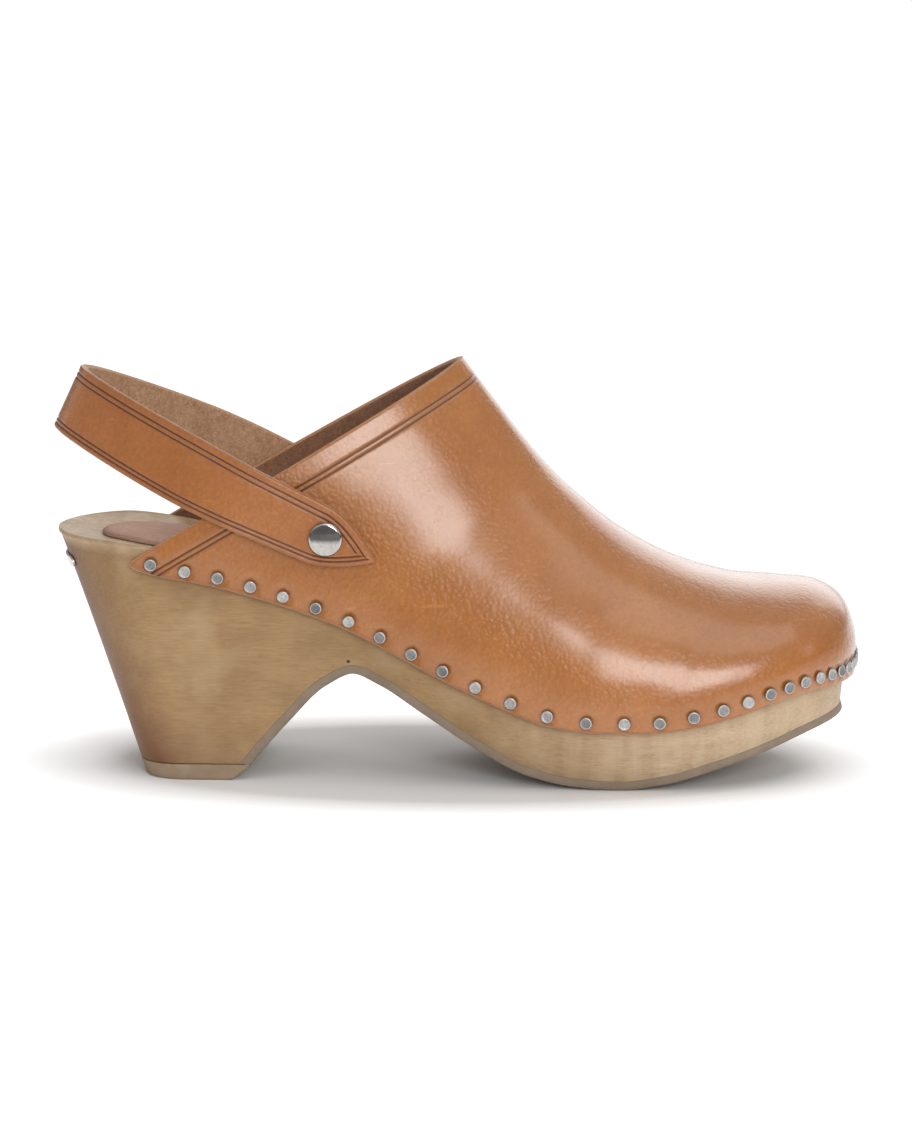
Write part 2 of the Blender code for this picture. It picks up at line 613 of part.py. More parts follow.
def tack_row(side, pitch):
    """Values of t for the tacks of one side, along the edge, ending a pitch short of the toe's tip."""
    fine = [mix(FLAP_START, 3.0, k / 900) for k in range(901)]
    spots = [welt_point(t, side, LEATHER) for t in fine]
    strides = [0.0]
    for a, b in zip(spots, spots[1:]):
        strides.append(strides[-1] + (b - a).length / curve(TACK_SPREAD, a.x))
    room = strides[-1] - TACK_FIRST
    count = round(room / pitch)
    picked = [TACK_FIRST + room * k / count for k in range(count)]
    return [fine[min(range(901), key=lambda i: abs(strides[i] - want))] for want in picked]


head_top = GAP + TACK_HEAD_THICKNESS
tack_profile = [(0.0, head_top), (TACK_HEAD_RADIUS - 0.6, head_top),
                (TACK_HEAD_RADIUS, head_top - 0.5 * TACK_HEAD_THICKNESS), (TACK_HEAD_RADIUS, GAP),
                (TACK_SHANK, GAP), (TACK_SHANK, 1.6 - TACK_LENGTH), (0.0, -TACK_LENGTH)]
tack_bore_profile = [(0.0, 2.0), (TACK_HOLE, 2.0), (TACK_HOLE, -TACK_LENGTH - 0.6), (0.0, -TACK_LENGTH - 0.6)]
tack_outline = outline_mesh("tack", tack_profile, steel)
tack_bore_outline = outline_mesh("tack_bore", tack_bore_profile, cutter_look)
frames = {"tack_toe": tack_frame(3.0, 1)}
for name, (side, pitch) in TACK_ROWS.items():
    for number, t in enumerate(tack_row(side, pitch), 1):
        frames[f"tack_{name}_{number:02d}"] = tack_frame(t, side)
for name, frame in frames.items():
    add_turned(name, tack_outline, 8, frame)
    add_turned(name + "_bore", tack_bore_outline, 6, frame, tack_bores)
cut(upper, tack_bores)
cut(wooden_sole, tack_bores)
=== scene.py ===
"""Looks of the high-heeled wooden clog: a fine surface for each piece, its materials, and the studio.

Shapes are worked out in millimetres, with the CAD model's own driving dimensions, and turn into metres
where a mesh is made. +X points to the toe, +Y to the inner (medial) side and +Z up.
"""

import math

import bmesh
import bpy
import numpy as np
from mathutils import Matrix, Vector


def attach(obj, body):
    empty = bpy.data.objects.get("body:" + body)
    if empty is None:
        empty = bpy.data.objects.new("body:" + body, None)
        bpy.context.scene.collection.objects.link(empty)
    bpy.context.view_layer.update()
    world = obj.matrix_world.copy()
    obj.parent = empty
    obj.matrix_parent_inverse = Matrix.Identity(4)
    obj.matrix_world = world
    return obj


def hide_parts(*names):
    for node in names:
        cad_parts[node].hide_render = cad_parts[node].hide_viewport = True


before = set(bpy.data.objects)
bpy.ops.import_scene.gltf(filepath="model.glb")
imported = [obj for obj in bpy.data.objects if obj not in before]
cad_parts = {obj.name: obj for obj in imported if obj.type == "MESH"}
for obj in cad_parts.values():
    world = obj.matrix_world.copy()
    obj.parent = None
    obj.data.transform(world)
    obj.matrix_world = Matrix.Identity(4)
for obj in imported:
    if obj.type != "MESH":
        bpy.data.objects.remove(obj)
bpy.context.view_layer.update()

MM = 0.001
GAP = 0.3  # between pieces that touch

# ---- Driving dimensions, the same as the CAD model's ----

HEEL_BACK = -124.8
SEAT_REACH = 29.5
SEAT_HALF = 29.5
SEAT_FRONT = HEEL_BACK + SEAT_REACH
BALL_X = 66.0
BALL_HALF = 41.0
TOE_REACH = 56.6
TOE_POWER = 0.76
SIDE_HALVES = [(SEAT_FRONT, SEAT_HALF), (-65, 28.8), (-38, 28.8), (-8, 32.0), (25, 37.4), (48, 40.4),
               (BALL_X, BALL_HALF)]
CENTRE_LINE = [(-30, 0.0), (0, -0.6), (30, -0.4), (70, 1.6), (100, 3.6), (126, 5.2)]

WELT_HEIGHTS = [(-101, 70.6), (-96.5, 67.6), (-89, 65.4), (-77, 63.3), (-62, 59.6), (-46.5, 54.8),
                (-31, 48.8), (-15.7, 41.2), (0, 33.4), (15, 26.9), (30.5, 21.6), (46, 20.0), (61, 20.1),
                (76, 22.0), (88.5, 25.0), (100, 28.4), (112, 30.9), (123, 31.4)]
RIM_LAP = 7.0
RIM_SETTLE = 20.0  # length over which the rim comes down from the seat to its lap
SEAT_HEIGHT = 76.0
RIM_ROUND = 1.3
RIM_HEIGHTS = [(HEEL_BACK, SEAT_HEIGHT), (-108, 75.8), (-95, 74.4), (-78, 71.4)]
FOOTBED_DISH = [(-122, 0.0), (-106, 2.6), (-60, 2.8), (BALL_X, 1.6), (118, 0.2)]

HEEL_TIP_TOP = 5.0
HEEL_FRONT = -66.5
HEEL_FOOT_BACK = -98.9
HEEL_FOOT_HALF = 26.0
HEEL_FOOT_REACH = 14.0
HEEL_FOOT_POWER = 0.45
HEEL_FRONT_RIM = -82.0
ARCH_X = -31.0
UNDERSIDE = [(HEEL_FRONT, HEEL_TIP_TOP + GAP), (-53.4, 20.2), (-41, 32.4), (ARCH_X, 36.8), (-21, 33.0),
             (-8, 25.0), (8, 14.9), (24, 6.8), (38, 3.8), (52, 2.95), (66, 4.75), (80, 8.6), (95, 13.3),
             (108, 18.0), (122, 21.8)]
UNDER_HALVES = [(HEEL_FRONT, HEEL_FOOT_HALF), (-50, 25.0), (ARCH_X, 25.0), (-8, 28.4), (25, 33.0),
                (50, 35.4), (BALL_X, 35.6)]
LOWER_SHIFT = [(SEAT_FRONT, HEEL_FOOT_BACK + HEEL_FOOT_REACH), (HEEL_FRONT_RIM, HEEL_FRONT),
               (ARCH_X, ARCH_X), (0, 0), (BALL_X, BALL_X)]
TOE_UNDERCUT = 1.6
WALL_FLARE = [(-60, 1.12), (10, 3.0)]
WALL_LEAN = 0.96
OUTSOLE_THICKNESS = 2.65

LEATHER = 2.5
FLAP_START = 0.915
FLAP_ROUND_ALONG, FLAP_ROUND_UP, FLAP_ROUND_END = 0.010, 0.06, 0.2
TOE_CORNER = 2.45
TOE_BLEND_START, TOE_BLEND_POWER = 0.5, 5
RIDGE = [(2.2, 129.8), (13.5, 114.6), (28, 96.4), (45, 80.6), (63, 69.0), (84, 61.7), (102, 59.7),
         (113, 58.4), (121.2, 53.2), (125.2, 44.0), (125.7, 37.0), (125.4, 31.4)]
RIDGE_PACE = [(0.0, 0.0), (0.5, 0.42), (1.0, 1.0)]
UPPER_RISE = [(0.0, 0.77), (0.5, 0.84), (1.0, 0.95)]
UPPER_WIDTH = [(0.0, 1.05), (0.3, 0.95), (0.6, 0.84), (1.0, 0.8)]
UPPER_BULGE = [(0.0, 0.4), (0.35, 1.4), (0.6, 2.8), (0.85, 2.8), (1.0, 1.4)]
BULGE_TOP = 0.8

PIVOT_X, PIVOT_Z = -38.4, 78.4
STRAP_ANGLE = math.radians(25.0)
STRAP_REACH = 90.4
STRAP_THICKNESS = 2.6
STRAP_INSIDE = 33.0
STRAP_TIP = 17.0
STRAP_TAPER = 3.0
STRAP_HALVES = [(STRAP_TAPER, 9.3), (20.0, 9.9), (50.0, 10.8), (STRAP_REACH, 10.5)]
STRAP_BEND = [(16, 34.5), (31, 34.1), (45, 31.0), (58, 26.0), (70, 19.9), (80, 13.4), (87.6, 6.6)]

PAD_BACK, PAD_FRONT = -111.0, -50.0
PAD_HALF = 18.5
PAD_THICKNESS = 1.3
PLATE_DROPS = (0.108, 0.155)
PLATE_SPAN = 0.3
PIN_T, PIN_DROP = 1.389, 0.93

RIVET_CAP_RADIUS = 5.3
TACK_HEAD_RADIUS = 1.9

# ---- Details that only the fine surfaces have ----

# Distances of the pressed lines from the edge of the collar and from the strap's two edges.
COLLAR_CREASES = (6.2, 7.8)
LOWER_STRAP_CREASES, UPPER_STRAP_CREASES = (1.5, 2.8), (2.3, 3.9)
CREASE_DEPTH, CREASE_WIDTH = 0.32, 0.31
CREASE_STEPS = (-1.9, -1.2, -0.7, -0.3, 0, 0.3, 0.7, 1.2, 1.9)  # points across a line, in its widths
CREASE_REACH = 2.3
CREASE_SHADE, SHADE_LIMIT = 0.95, 0.9  # how dark the painted shade in a pressed line is, and the most that marks add up to
TACK_DIMPLE, DIMPLE_WIDTH = 0.5, 1.3


# ---- Shape functions; each takes numpy arrays ----

def mix(a, b, u):
    """From a at u = 0 to b at u = 1."""
    return a + (b - a) * u


def ramp(value, start, end):
    """0 at start to 1 at end, and level beyond them."""
    return np.clip((value - start) / (end - start), 0, 1)


def curve(points, x):
    """Monotone cubic through (x, value) points, level beyond its ends."""
    spots, values = np.array(points, float).T
    widths = np.diff(spots)
    slopes = np.diff(values) / widths
    both = slopes[:-1] * slopes[1:]
    inner = np.where(both > 0, 2 * both / np.where(both > 0, slopes[:-1] + slopes[1:], 1.0), 0.0)
    tangents = np.concatenate([slopes[:1], inner, slopes[-1:]])
    x = np.clip(x, spots[0], spots[-1])
    i = np.clip(np.searchsorted(spots, x, side="right") - 1, 0, len(widths) - 1)
    u = (x - spots[i]) / widths[i]
    rise, start, end = values[i + 1] - values[i], tangents[i] * widths[i], tangents[i + 1] * widths[i]
    return values[i] + u * start + u * u * (3 * rise - 2 * start - end) + u**3 * (start + end - 2 * rise)


def path(points, u):
    """Catmull-Rom curve through the points, for u from 0 to 1 in equal shares of chord length."""
    spots = np.array(points, float)
    lengths = np.concatenate([[0.0], np.cumsum(np.linalg.norm(np.diff(spots, axis=0), axis=1))])
    along = np.asarray(u, float) * lengths[-1]
    i = np.clip(np.searchsorted(lengths, along) - 1, 0, len(spots) - 2)
    first, last = np.maximum(i - 1, 0), np.minimum(i + 2, len(spots) - 1)
    a, b = spots[i], spots[i + 1]
    span = (lengths[i + 1] - lengths[i])[..., None]
    start = (b - spots[first]) * span / (lengths[i + 1] - lengths[first])[..., None]
    end = (spots[last] - a) * span / (lengths[last] - lengths[i])[..., None]
    f = (along - lengths[i])[..., None] / span
    return a + f * start + f * f * (3 * (b - a) - 2 * start - end) + f**3 * (start + end - 2 * (b - a))


def centre(x):
    """The shoe's curved middle line."""
    return curve(CENTRE_LINE, x)


def outline(t, offset=0.0):
    """(x, half width) of the rim's plan, moved out by the offset.

    t runs 0..1 round the heel, 1..2 along the side and 2..3 round the toe.
    """
    t = np.asarray(t, float)
    heel = (1 - np.clip(t, 0, 1)) * math.pi / 2
    side_x = mix(SEAT_FRONT, BALL_X, np.clip(t - 1, 0, 1))
    toe = np.clip(t - 2, 0, 1) * math.pi / 2
    x = np.select([t < 1, t <= 2], [SEAT_FRONT - (SEAT_REACH + offset) * np.sin(heel), side_x],
                  BALL_X + (TOE_REACH + offset) * np.sin(toe))
    half = np.select([t < 1, t <= 2],
                     [(SEAT_HALF + offset) * np.cos(heel), curve(SIDE_HALVES, side_x) + offset],
                     (BALL_HALF + offset) * np.maximum(np.cos(toe), 0.0) ** TOE_POWER)
    return x, half


def half_at(x, offset):
    """Half width of the rim's plan where it crosses x, in front of the seat."""
    share = np.clip((x - BALL_X) / (TOE_REACH + offset), 0, 1)
    toe = (BALL_HALF + offset) * (1 - share * share) ** (TOE_POWER / 2)
    return np.where(x <= BALL_X, curve(SIDE_HALVES, x) + offset, toe)


def rim_height(x):
    """Height of the wood's upper edge."""
    seat_end, seat_end_height = RIM_HEIGHTS[-1]
    settled = ramp(x, seat_end, seat_end + RIM_SETTLE)
    seat_lap = seat_end_height - curve(WELT_HEIGHTS, seat_end)
    lapped = curve(WELT_HEIGHTS, x) + mix(seat_lap, RIM_LAP, settled)
    return np.where(x < seat_end, curve(RIM_HEIGHTS, x), lapped)


def underside(t):
    """(x, z, half width) of the wood's lower edge at t."""
    t = np.asarray(t, float)
    heel = (1 - np.clip(t, 0, 1)) * math.pi / 2
    toe = np.clip(t - 2, 0, 1) * math.pi / 2
    side_x = curve(LOWER_SHIFT, outline(t)[0])
    x = np.select([t < 1, t <= 2], [HEEL_FOOT_BACK + HEEL_FOOT_REACH * (1 - np.sin(heel)), side_x],
                  BALL_X + (TOE_REACH - TOE_UNDERCUT) * np.sin(toe))
    half = np.select([t < 1, t <= 2],
                     [HEEL_FOOT_HALF * np.maximum(np.cos(heel), 0.0) ** HEEL_FOOT_POWER,
                      curve(UNDER_HALVES, side_x)],
                     UNDER_HALVES[-1][1] * np.maximum(np.cos(toe), 0.0) ** TOE_POWER)
    z = np.where(t < 1, HEEL_TIP_TOP + GAP, curve(UNDERSIDE, x))
    return x, z, half


def wall(t, side, drop):
    """Points on the wood's side wall: drop runs from 0 at the rim to 1 at the lower edge."""
    rim_x, rim_half = outline(t)
    low_x, low_z, low_half = underside(t)
    half = mix(rim_half, low_half, drop ** curve(WALL_FLARE, rim_x))
    x = mix(rim_x, low_x, drop**WALL_LEAN)
    return np.stack([x, centre(rim_x) + side * half, mix(rim_height(rim_x), low_z, drop)], -1)


def footbed(x, share):
    """Height of the dished top, at a share of the half width from the middle."""
    return rim_height(x) - curve(FOOTBED_DISH, x) * (1 - share * share)


def welt_point(t, side, offset):
    """Points on the leather's lower edge, this far out from the wood."""
    x, half = outline(t, offset)
    return np.stack([x, centre(x) + side * half, curve(WELT_HEIGHTS, x)], -1)


def over_foot(foot, ridge, rise, lean, rounding):
    """(points, height share, width share) of an arch from the leather's foot to its ridge."""
    angle = math.pi / 2 * rise ** (1 / lean)
    up = np.sin(angle) ** lean
    wide = np.maximum(np.cos(angle), 0.0) ** rounding
    foot_x, foot_y, foot_z = np.moveaxis(foot, -1, 0)
    ridge_x, ridge_z = np.moveaxis(ridge, -1, 0)
    y = mix(centre(foot_x), centre(ridge_x), up) + (foot_y - centre(foot_x)) * wide
    return np.stack([mix(foot_x, ridge_x, up), y, mix(foot_z, ridge_z, up)], -1), up, wide


def upper_point(s, turn, offset=GAP + LEATHER):
    """Leather's outer face: s runs from collar to toe, turn from -1 over the ridge to 1."""
    s, turn = np.broadcast_arrays(np.asarray(s, float), np.asarray(turn, float))
    side = np.copysign(1.0, turn)
    rise = 1 - np.abs(turn)
    foot = welt_point(mix(FLAP_START, TOE_CORNER, s), side, offset)
    ridge = path(RIDGE, curve(RIDGE_PACE, s))
    points, up, wide = over_foot(foot, ridge, rise, curve(UPPER_RISE, s), curve(UPPER_WIDTH, s))
    half = np.abs(foot[..., 1] - centre(foot[..., 0]))
    swell = np.maximum(0.0, half_at(points[..., 0], offset) - half) * (1 - up)
    swell += curve(UPPER_BULGE, s) * 4 * rise * np.maximum(0.0, BULGE_TOP - rise)
    points[..., 1] += side * swell * wide
    last_foot = welt_point(np.full_like(s, TOE_CORNER), side, offset)
    last_ridge = np.broadcast_to(path(RIDGE, 1.0), s.shape + (2,))
    on_arch = over_foot(last_foot, last_ridge, rise, UPPER_RISE[-1][1], UPPER_WIDTH[-1][1])[0]
    on_welt = welt_point(mix(TOE_CORNER, 3.0, rise), side, offset)
    toward_toe = np.maximum(0.0, (s - TOE_BLEND_START) / (1 - TOE_BLEND_START))
    return points + (on_welt - on_arch) * (toward_toe**TOE_BLEND_POWER)[..., None]


def trimmed(s, turn):
    """The same s, moved forward at the collar's rear corners so that they come out round."""
    near = np.maximum(0.0, 1 - (1 - np.abs(turn)) / FLAP_ROUND_UP)
    return s + FLAP_ROUND_ALONG * (1 - np.sqrt(1 - near * near)) * np.maximum(0.0, 1 - s / FLAP_ROUND_END)


# ---- Meshes ----

MERGE_DISTANCE, SLIVER = 2e-6, 1e-6  # metres


def unit(vectors):
    return vectors / np.maximum(np.linalg.norm(vectors, axis=-1, keepdims=True), 1e-12)


def grid_normals(points):
    """Normals of a grid of points, by the rule (along rows) x (along columns)."""
    return unit(np.cross(np.gradient(points, axis=0), np.gradient(points, axis=1)))


def grid_quads(rows, columns, first=0, closed=False):
    """Faces between the points of a grid whose numbering starts at first."""
    index = first + np.arange(rows * columns).reshape(rows, columns)
    if closed:
        index = np.concatenate([index, index[:, :1]], axis=1)
    return np.stack([index[:-1, :-1], index[:-1, 1:], index[1:, 1:], index[1:, :-1]], -1).reshape(-1, 4)


def ring_quads(rings):
    """Faces between closed rings of points."""
    return grid_quads(*rings.shape[:2], closed=True)


def place(name, data):
    """Makes an object of the data and puts it in the scene."""
    made = bpy.data.objects.new(name, data)
    bpy.context.scene.collection.objects.link(made)
    return made


def add_piece(name, body, points, faces, looks, replaces=(), face_looks=None, marks=None,
              sharp_angle=40.0):
    data = bpy.data.meshes.new(name)
    points = np.asarray(points, float).reshape(-1, 3)
    data.from_pydata((points * MM).tolist(), [], [list(face) for face in faces])
    for look in looks:
        data.materials.append(look)
    if face_looks is not None:
        data.polygons.foreach_set("material_index", np.asarray(face_looks, np.int32))
    for mark, values in (marks or {}).items():
        layer = data.attributes.new(mark, "FLOAT", "POINT")
        layer.data.foreach_set("value", np.asarray(values, np.float32).ravel())
    bm = bmesh.new()
    bm.from_mesh(data)
    bmesh.ops.remove_doubles(bm, verts=bm.verts, dist=MERGE_DISTANCE)
    bmesh.ops.dissolve_degenerate(bm, edges=bm.edges, dist=SLIVER)
    bmesh.ops.recalc_face_normals(bm, faces=bm.faces)
    if bm.calc_volume(signed=True) < 0:
        bmesh.ops.reverse_faces(bm, faces=bm.faces)
    bm.to_mesh(data)
    bm.free()
    data.polygons.foreach_set("use_smooth", [True] * len(data.polygons))
    data.set_sharp_from_angle(angle=math.radians(sharp_angle))
    made = place(name, data)
    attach(made, body)
    if replaces:
        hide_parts(*replaces)
    return made


def turned_points(profile, steps, base, out):
    """Rings of a solid of revolution from (radius, height) pairs, on the axis from base along out."""
    out = unit(np.asarray(out, float))
    across = unit(np.cross(out, (0.0, 0.0, 1.0)))
    other = np.cross(out, across)
    turn = np.linspace(0, 2 * math.pi, steps, endpoint=False)
    ring = np.cos(turn)[:, None] * across + np.sin(turn)[:, None] * other
    return np.array([np.asarray(base) + radius * ring + height * out for radius, height in profile])


def groove(distance, lines):
    """Depth of pressed lines, at a distance from an edge."""
    return sum(CREASE_DEPTH * np.exp(-(((distance - line) / CREASE_WIDTH) ** 2)) for line in lines)


def around_lines(lines, start, end, step):
    """Distances from start to end, closer together round each pressed line."""
    near = [line + CREASE_WIDTH * share for line in lines for share in CREASE_STEPS]
    far = [d for d in np.arange(start, end + step / 2, step)
           if all(abs(d - line) > CREASE_REACH * CREASE_WIDTH for line in lines)]
    return np.unique(np.round(near + far, 3))


WAVE_COUNT = 7


def waves(points, size, seed):
    """Smooth uneven field over the points, about -1 to 1, with features of this size."""
    draw = np.random.default_rng(seed)
    total = 0.0
    for _ in range(WAVE_COUNT):
        direction = unit(draw.normal(size=3))
        length = size * draw.uniform(0.7, 1.6)
        total = total + np.sin(points @ direction * 2 * math.pi / length + draw.uniform(0, 6.28))
    return total / (WAVE_COUNT / 2)


# ---- Node materials ----

class NodeTree:
    """Adds nodes to a material or a world. An input takes a value or another node's output."""

    def __init__(self, owner):
        owner.use_nodes = True
        self.tree = owner.node_tree

    def node(self, kind, inputs=None, **settings):
        made = self.tree.nodes.new(kind)
        for name, value in settings.items():
            setattr(made, name, value)
        for name, value in (inputs or {}).items():
            self.put(made, name, value)
        return made

    def put(self, node, name, value):
        if isinstance(value, bpy.types.NodeSocket):
            self.tree.links.new(value, node.inputs[name])
        else:
            node.inputs[name].default_value = value

    def span(self, value, low, high, to_low=0.0, to_high=1.0):
        """Value from low..high brought to to_low..to_high, and kept inside."""
        return self.node("ShaderNodeMapRange", {"Value": value, "From Min": low, "From Max": high,
                                                "To Min": to_low, "To Max": to_high}).outputs[0]


class Look(NodeTree):
    """One node material on a Principled shader."""

    def __init__(self, name):
        self.material = bpy.data.materials.new(name)
        super().__init__(self.material)
        self.shader = self.tree.nodes["Principled BSDF"]
        self.place = self.node("ShaderNodeTexCoord").outputs["Object"]

    def set(self, **values):
        for name, value in values.items():
            self.put(self.shader, name.replace("_", " "), value)

    def scaled(self, size, stretch=(1.0, 1.0, 1.0)):
        """Place on the object in units of this size in millimetres, stretched along the axes."""
        scale = [1 / (size * MM * share) for share in stretch]
        return self.node("ShaderNodeMapping", {"Vector": self.place, "Scale": scale}).outputs[0]

    def noise(self, size, detail=3.0, roughness=0.55, stretch=(1.0, 1.0, 1.0), distortion=0.0):
        """Noise with features of this size."""
        inputs = {"Vector": self.scaled(size, stretch), "Scale": 1.0, "Detail": detail,
                  "Roughness": roughness, "Distortion": distortion}
        return self.node("ShaderNodeTexNoise", inputs).outputs["Fac"]

    def cells(self, size, feature="F1"):
        """Distance from the middle of cells of this size."""
        inputs = {"Vector": self.scaled(size), "Scale": 1.0}
        return self.node("ShaderNodeTexVoronoi", inputs, feature=feature).outputs["Distance"]

    def mark(self, name):
        """Values that a mesh carries at its points."""
        return self.node("ShaderNodeAttribute", attribute_name=name).outputs["Fac"]

    def maths(self, operation, a, b):
        return self.node("ShaderNodeMath", {0: a, 1: b}, operation=operation).outputs[0]

    def blend(self, share, a, b, how="MIX"):
        """Colour a turning into b as share goes from 0 to 1."""
        node = self.node("ShaderNodeMix", {"Factor": share}, data_type="RGBA", blend_type=how)
        for name, colour in (("A", a), ("B", b)):
            socket = next(s for s in node.inputs if s.name == name and s.type == "RGBA")
            if isinstance(colour, bpy.types.NodeSocket):
                self.tree.links.new(colour, socket)
            else:
                socket.default_value = (*colour, 1.0)
        return next(s for s in node.outputs if s.type == "RGBA")

    def bump(self, *layers):
        """Normal from (height, depth in mm) layers, the coarse ones first."""
        normal = None
        for height, depth in layers:
            inputs = {"Height": height, "Distance": depth * MM, "Strength": 1.0}
            if normal is not None:
                inputs["Normal"] = normal
            normal = self.node("ShaderNodeBump", inputs).outputs[0]
        self.set(Normal=normal)


def tinted(colour, factor):
    """The colour made lighter or darker by a factor."""
    return tuple(min(1.0, channel * factor) for channel in colour)


def leather_look(name, light, dark, press, gloss=(0.25, 0.34), specular=0.30, coat=1.0):
    """Smooth, oiled grain leather with pull-up mottling, pores, fine wrinkles and scratches."""
    look = Look(name)
    mottle = look.span(look.noise(34, 4.0, 0.6), 0.3, 0.7)
    colour = look.blend(mottle, dark, light)
    cloud = look.span(look.noise(7, 5.0, 0.65), 0.35, 0.75, 0.0, 0.35)
    colour = look.blend(cloud, colour, tinted(dark, 0.78))
    pores = look.span(look.cells(0.55), 0.0, 0.35, 0.34, 0.0)
    colour = look.blend(pores, colour, tinted(dark, 0.55))
    grain = look.cells(1.15, "SMOOTH_F1")
    colour = look.blend(look.span(grain, 0.15, 0.6, 0.0, 0.26), colour, tinted(dark, 0.7))
    scuffs = look.span(look.noise(1.4, 3.0, 0.5, (9.0, 9.0, 0.9), 0.6), 0.68, 0.76, 0.0, 0.35)
    colour = look.blend(scuffs, colour, tinted(light, 1.5))
    # Painted shade: the "shade" mark darkens the pressed lines, rings round the nails and the edges toward
    # the press colour.
    colour = look.blend(look.mark("shade"), colour, press)
    look.set(Base_Color=colour)
    rough = look.span(look.noise(12, 4.0, 0.6), 0.3, 0.7, *gloss)
    rough = look.maths("ADD", rough, look.span(scuffs, 0.0, 0.35, 0.0, 0.15))
    look.set(Roughness=look.maths("ADD", rough, look.span(look.mark("shade"), 0.1, 0.8, 0.0, 0.4)))
    look.set(Specular_IOR_Level=specular, Coat_Weight=coat, Coat_Roughness=0.2)
    look.bump((look.noise(16, 3.0), 0.10), (look.noise(3.0, 5.0, 0.7), 0.20), (grain, -0.26),
              (look.noise(0.6, 2.0, 0.6), 0.05), (scuffs, 0.03))
    return look.material


def suede_look(name, light, dark):
    """Napped flesh side of the leather."""
    look = Look(name)
    colour = look.blend(look.span(look.noise(9, 5.0, 0.7), 0.3, 0.7), dark, light)
    fibre = look.span(look.noise(1.0, 5.0, 0.8, (1.0, 1.0, 1.0), 1.2), 0.46, 0.62, 0.0, 0.6)
    colour = look.blend(fibre, colour, tinted(light, 1.5))
    fluff = look.span(look.noise(1.3, 5.0, 0.8, (1.0, 1.0, 1.0), 0.8), 0.36, 0.48, 0.5, 0.0)
    colour = look.blend(fluff, colour, tinted(dark, 0.6))
    look.set(Base_Color=colour, Roughness=0.92, Specular_IOR_Level=0.25, Sheen_Weight=0.35,
             Sheen_Roughness=0.5)
    look.bump((look.noise(3.2, 4.0, 0.7), 0.12), (look.noise(0.45, 4.0, 0.75, distortion=1.5), 0.10))
    return look.material


def edge_look(name, light, dark):
    """Cut edge of thick leather: pale, fibrous, and a little burnished."""
    look = Look(name)
    fibre = look.span(look.noise(0.6, 4.0, 0.7, (2.5, 2.5, 0.6)), 0.3, 0.7)
    look.set(Base_Color=look.blend(fibre, dark, light), Roughness=0.6)
    look.bump((look.noise(0.5, 4.0, 0.7, (3.0, 3.0, 0.6)), 0.06))
    return look.material


WOOD_GOLDEN, WOOD_PALE, WOOD_STREAK = (0.42, 0.262, 0.116), (0.60, 0.447, 0.290), (0.20, 0.105, 0.042)
WOOD_FLAME, WOOD_BLOTCH, WOOD_BLOOM = (0.74, 0.58, 0.40), (0.235, 0.130, 0.055), (0.56, 0.42, 0.25)
WOOD_DARK_HEEL, WOOD_SHADE = (0.165, 0.062, 0.026), (0.20, 0.11, 0.05)


def wood_look(name):
    """Fine-grained pale wood whose fibres run from heel to toe, under a thin satin finish."""
    look = Look(name)
    # The "pale" mark is partly a painted highlight on the footbed and the rounded rim.
    colour = look.blend(look.mark("pale"), WOOD_GOLDEN, WOOD_PALE)
    rings = look.span(look.noise(5.0, 3.0, 0.55, (16.0, 1.2, 0.8), 0.4), 0.35, 0.7, 0.0, 0.26)
    colour = look.blend(rings, colour, tinted(WOOD_GOLDEN, 0.72))
    fibres = look.span(look.noise(0.7, 4.0, 0.7, (9.0, 1.0, 0.8), 0.3), 0.38, 0.72, 0.0, 0.44)
    colour = look.blend(fibres, colour, WOOD_STREAK)
    flame = look.span(look.noise(5.5, 3.0, 0.55, (1.0, 5.0, 7.0)), 0.38, 0.62, 0.0, 0.4)
    colour = look.blend(look.maths("MULTIPLY", flame, look.mark("pale")), colour, WOOD_FLAME)
    pores = look.span(look.noise(0.32, 2.0, 0.5, (11.0, 1.0, 1.0)), 0.66, 0.74, 0.0, 0.45)
    colour = look.blend(pores, colour, WOOD_STREAK)
    blotch = look.span(look.noise(13.0, 5.0, 0.65, (1.2, 1.0, 1.0)), 0.40, 0.66, 0.0, 0.46)
    aged = look.span(look.mark("pale"), 0.0, 1.0, 1.0, 0.2)
    colour = look.blend(look.maths("MULTIPLY", blotch, aged), colour, WOOD_BLOTCH)
    bloom = look.span(look.noise(17.0, 3.0, 0.5), 0.5, 0.72, 0.0, 0.30)
    colour = look.blend(bloom, colour, WOOD_BLOOM)
    colour = look.blend(look.mark("dark_heel"), colour, WOOD_DARK_HEEL)
    colour = look.blend(look.mark("shade"), colour, WOOD_SHADE)
    look.set(Base_Color=colour, Roughness=look.span(fibres, 0.0, 0.3, 0.42, 0.58), Specular_IOR_Level=0.3,
             Coat_Weight=0.08, Coat_Roughness=0.35)
    ribs = look.noise(0.5, 4.0, 0.65, (34.0, 1.0, 0.8))
    look.bump((look.noise(14, 2.0), 0.05), (ribs, 0.03), (pores, -0.03))
    return look.material


def rubber_look(name, colour, dark):
    """Matt, mottled rubber with pale specks."""
    look = Look(name)
    mottle = look.span(look.noise(5, 5.0, 0.65), 0.3, 0.75)
    shade = look.blend(mottle, dark, colour)
    specks = look.span(look.noise(0.7, 3.0, 0.6), 0.62, 0.75, 0.0, 0.35)
    look.set(Base_Color=look.blend(specks, shade, tinted(colour, 1.5)), Roughness=0.72)
    look.bump((look.noise(1.8, 4.0, 0.6), 0.05), (look.noise(0.35, 3.0, 0.6), 0.03))
    return look.material


def handling_lines(look):
    """Fine scratches that run one way."""
    return look.noise(0.25, 3.0, 0.6, (1.0, 7.0, 1.6), 0.8)


def metal_look(name, colour, roughness, scratch):
    """Metal with fine handling scratches and dull patches."""
    look = Look(name)
    worn = look.noise(1.2, 4.0, 0.65)
    tint = look.blend(look.span(worn, 0.3, 0.75), tinted(colour, 0.72), colour)
    look.set(Base_Color=tint, Metallic=1.0)
    look.set(Roughness=look.span(worn, 0.3, 0.75, roughness * 1.35, roughness * 0.8))
    look.bump((worn, scratch * 0.6), (handling_lines(look), scratch))
    return look.material


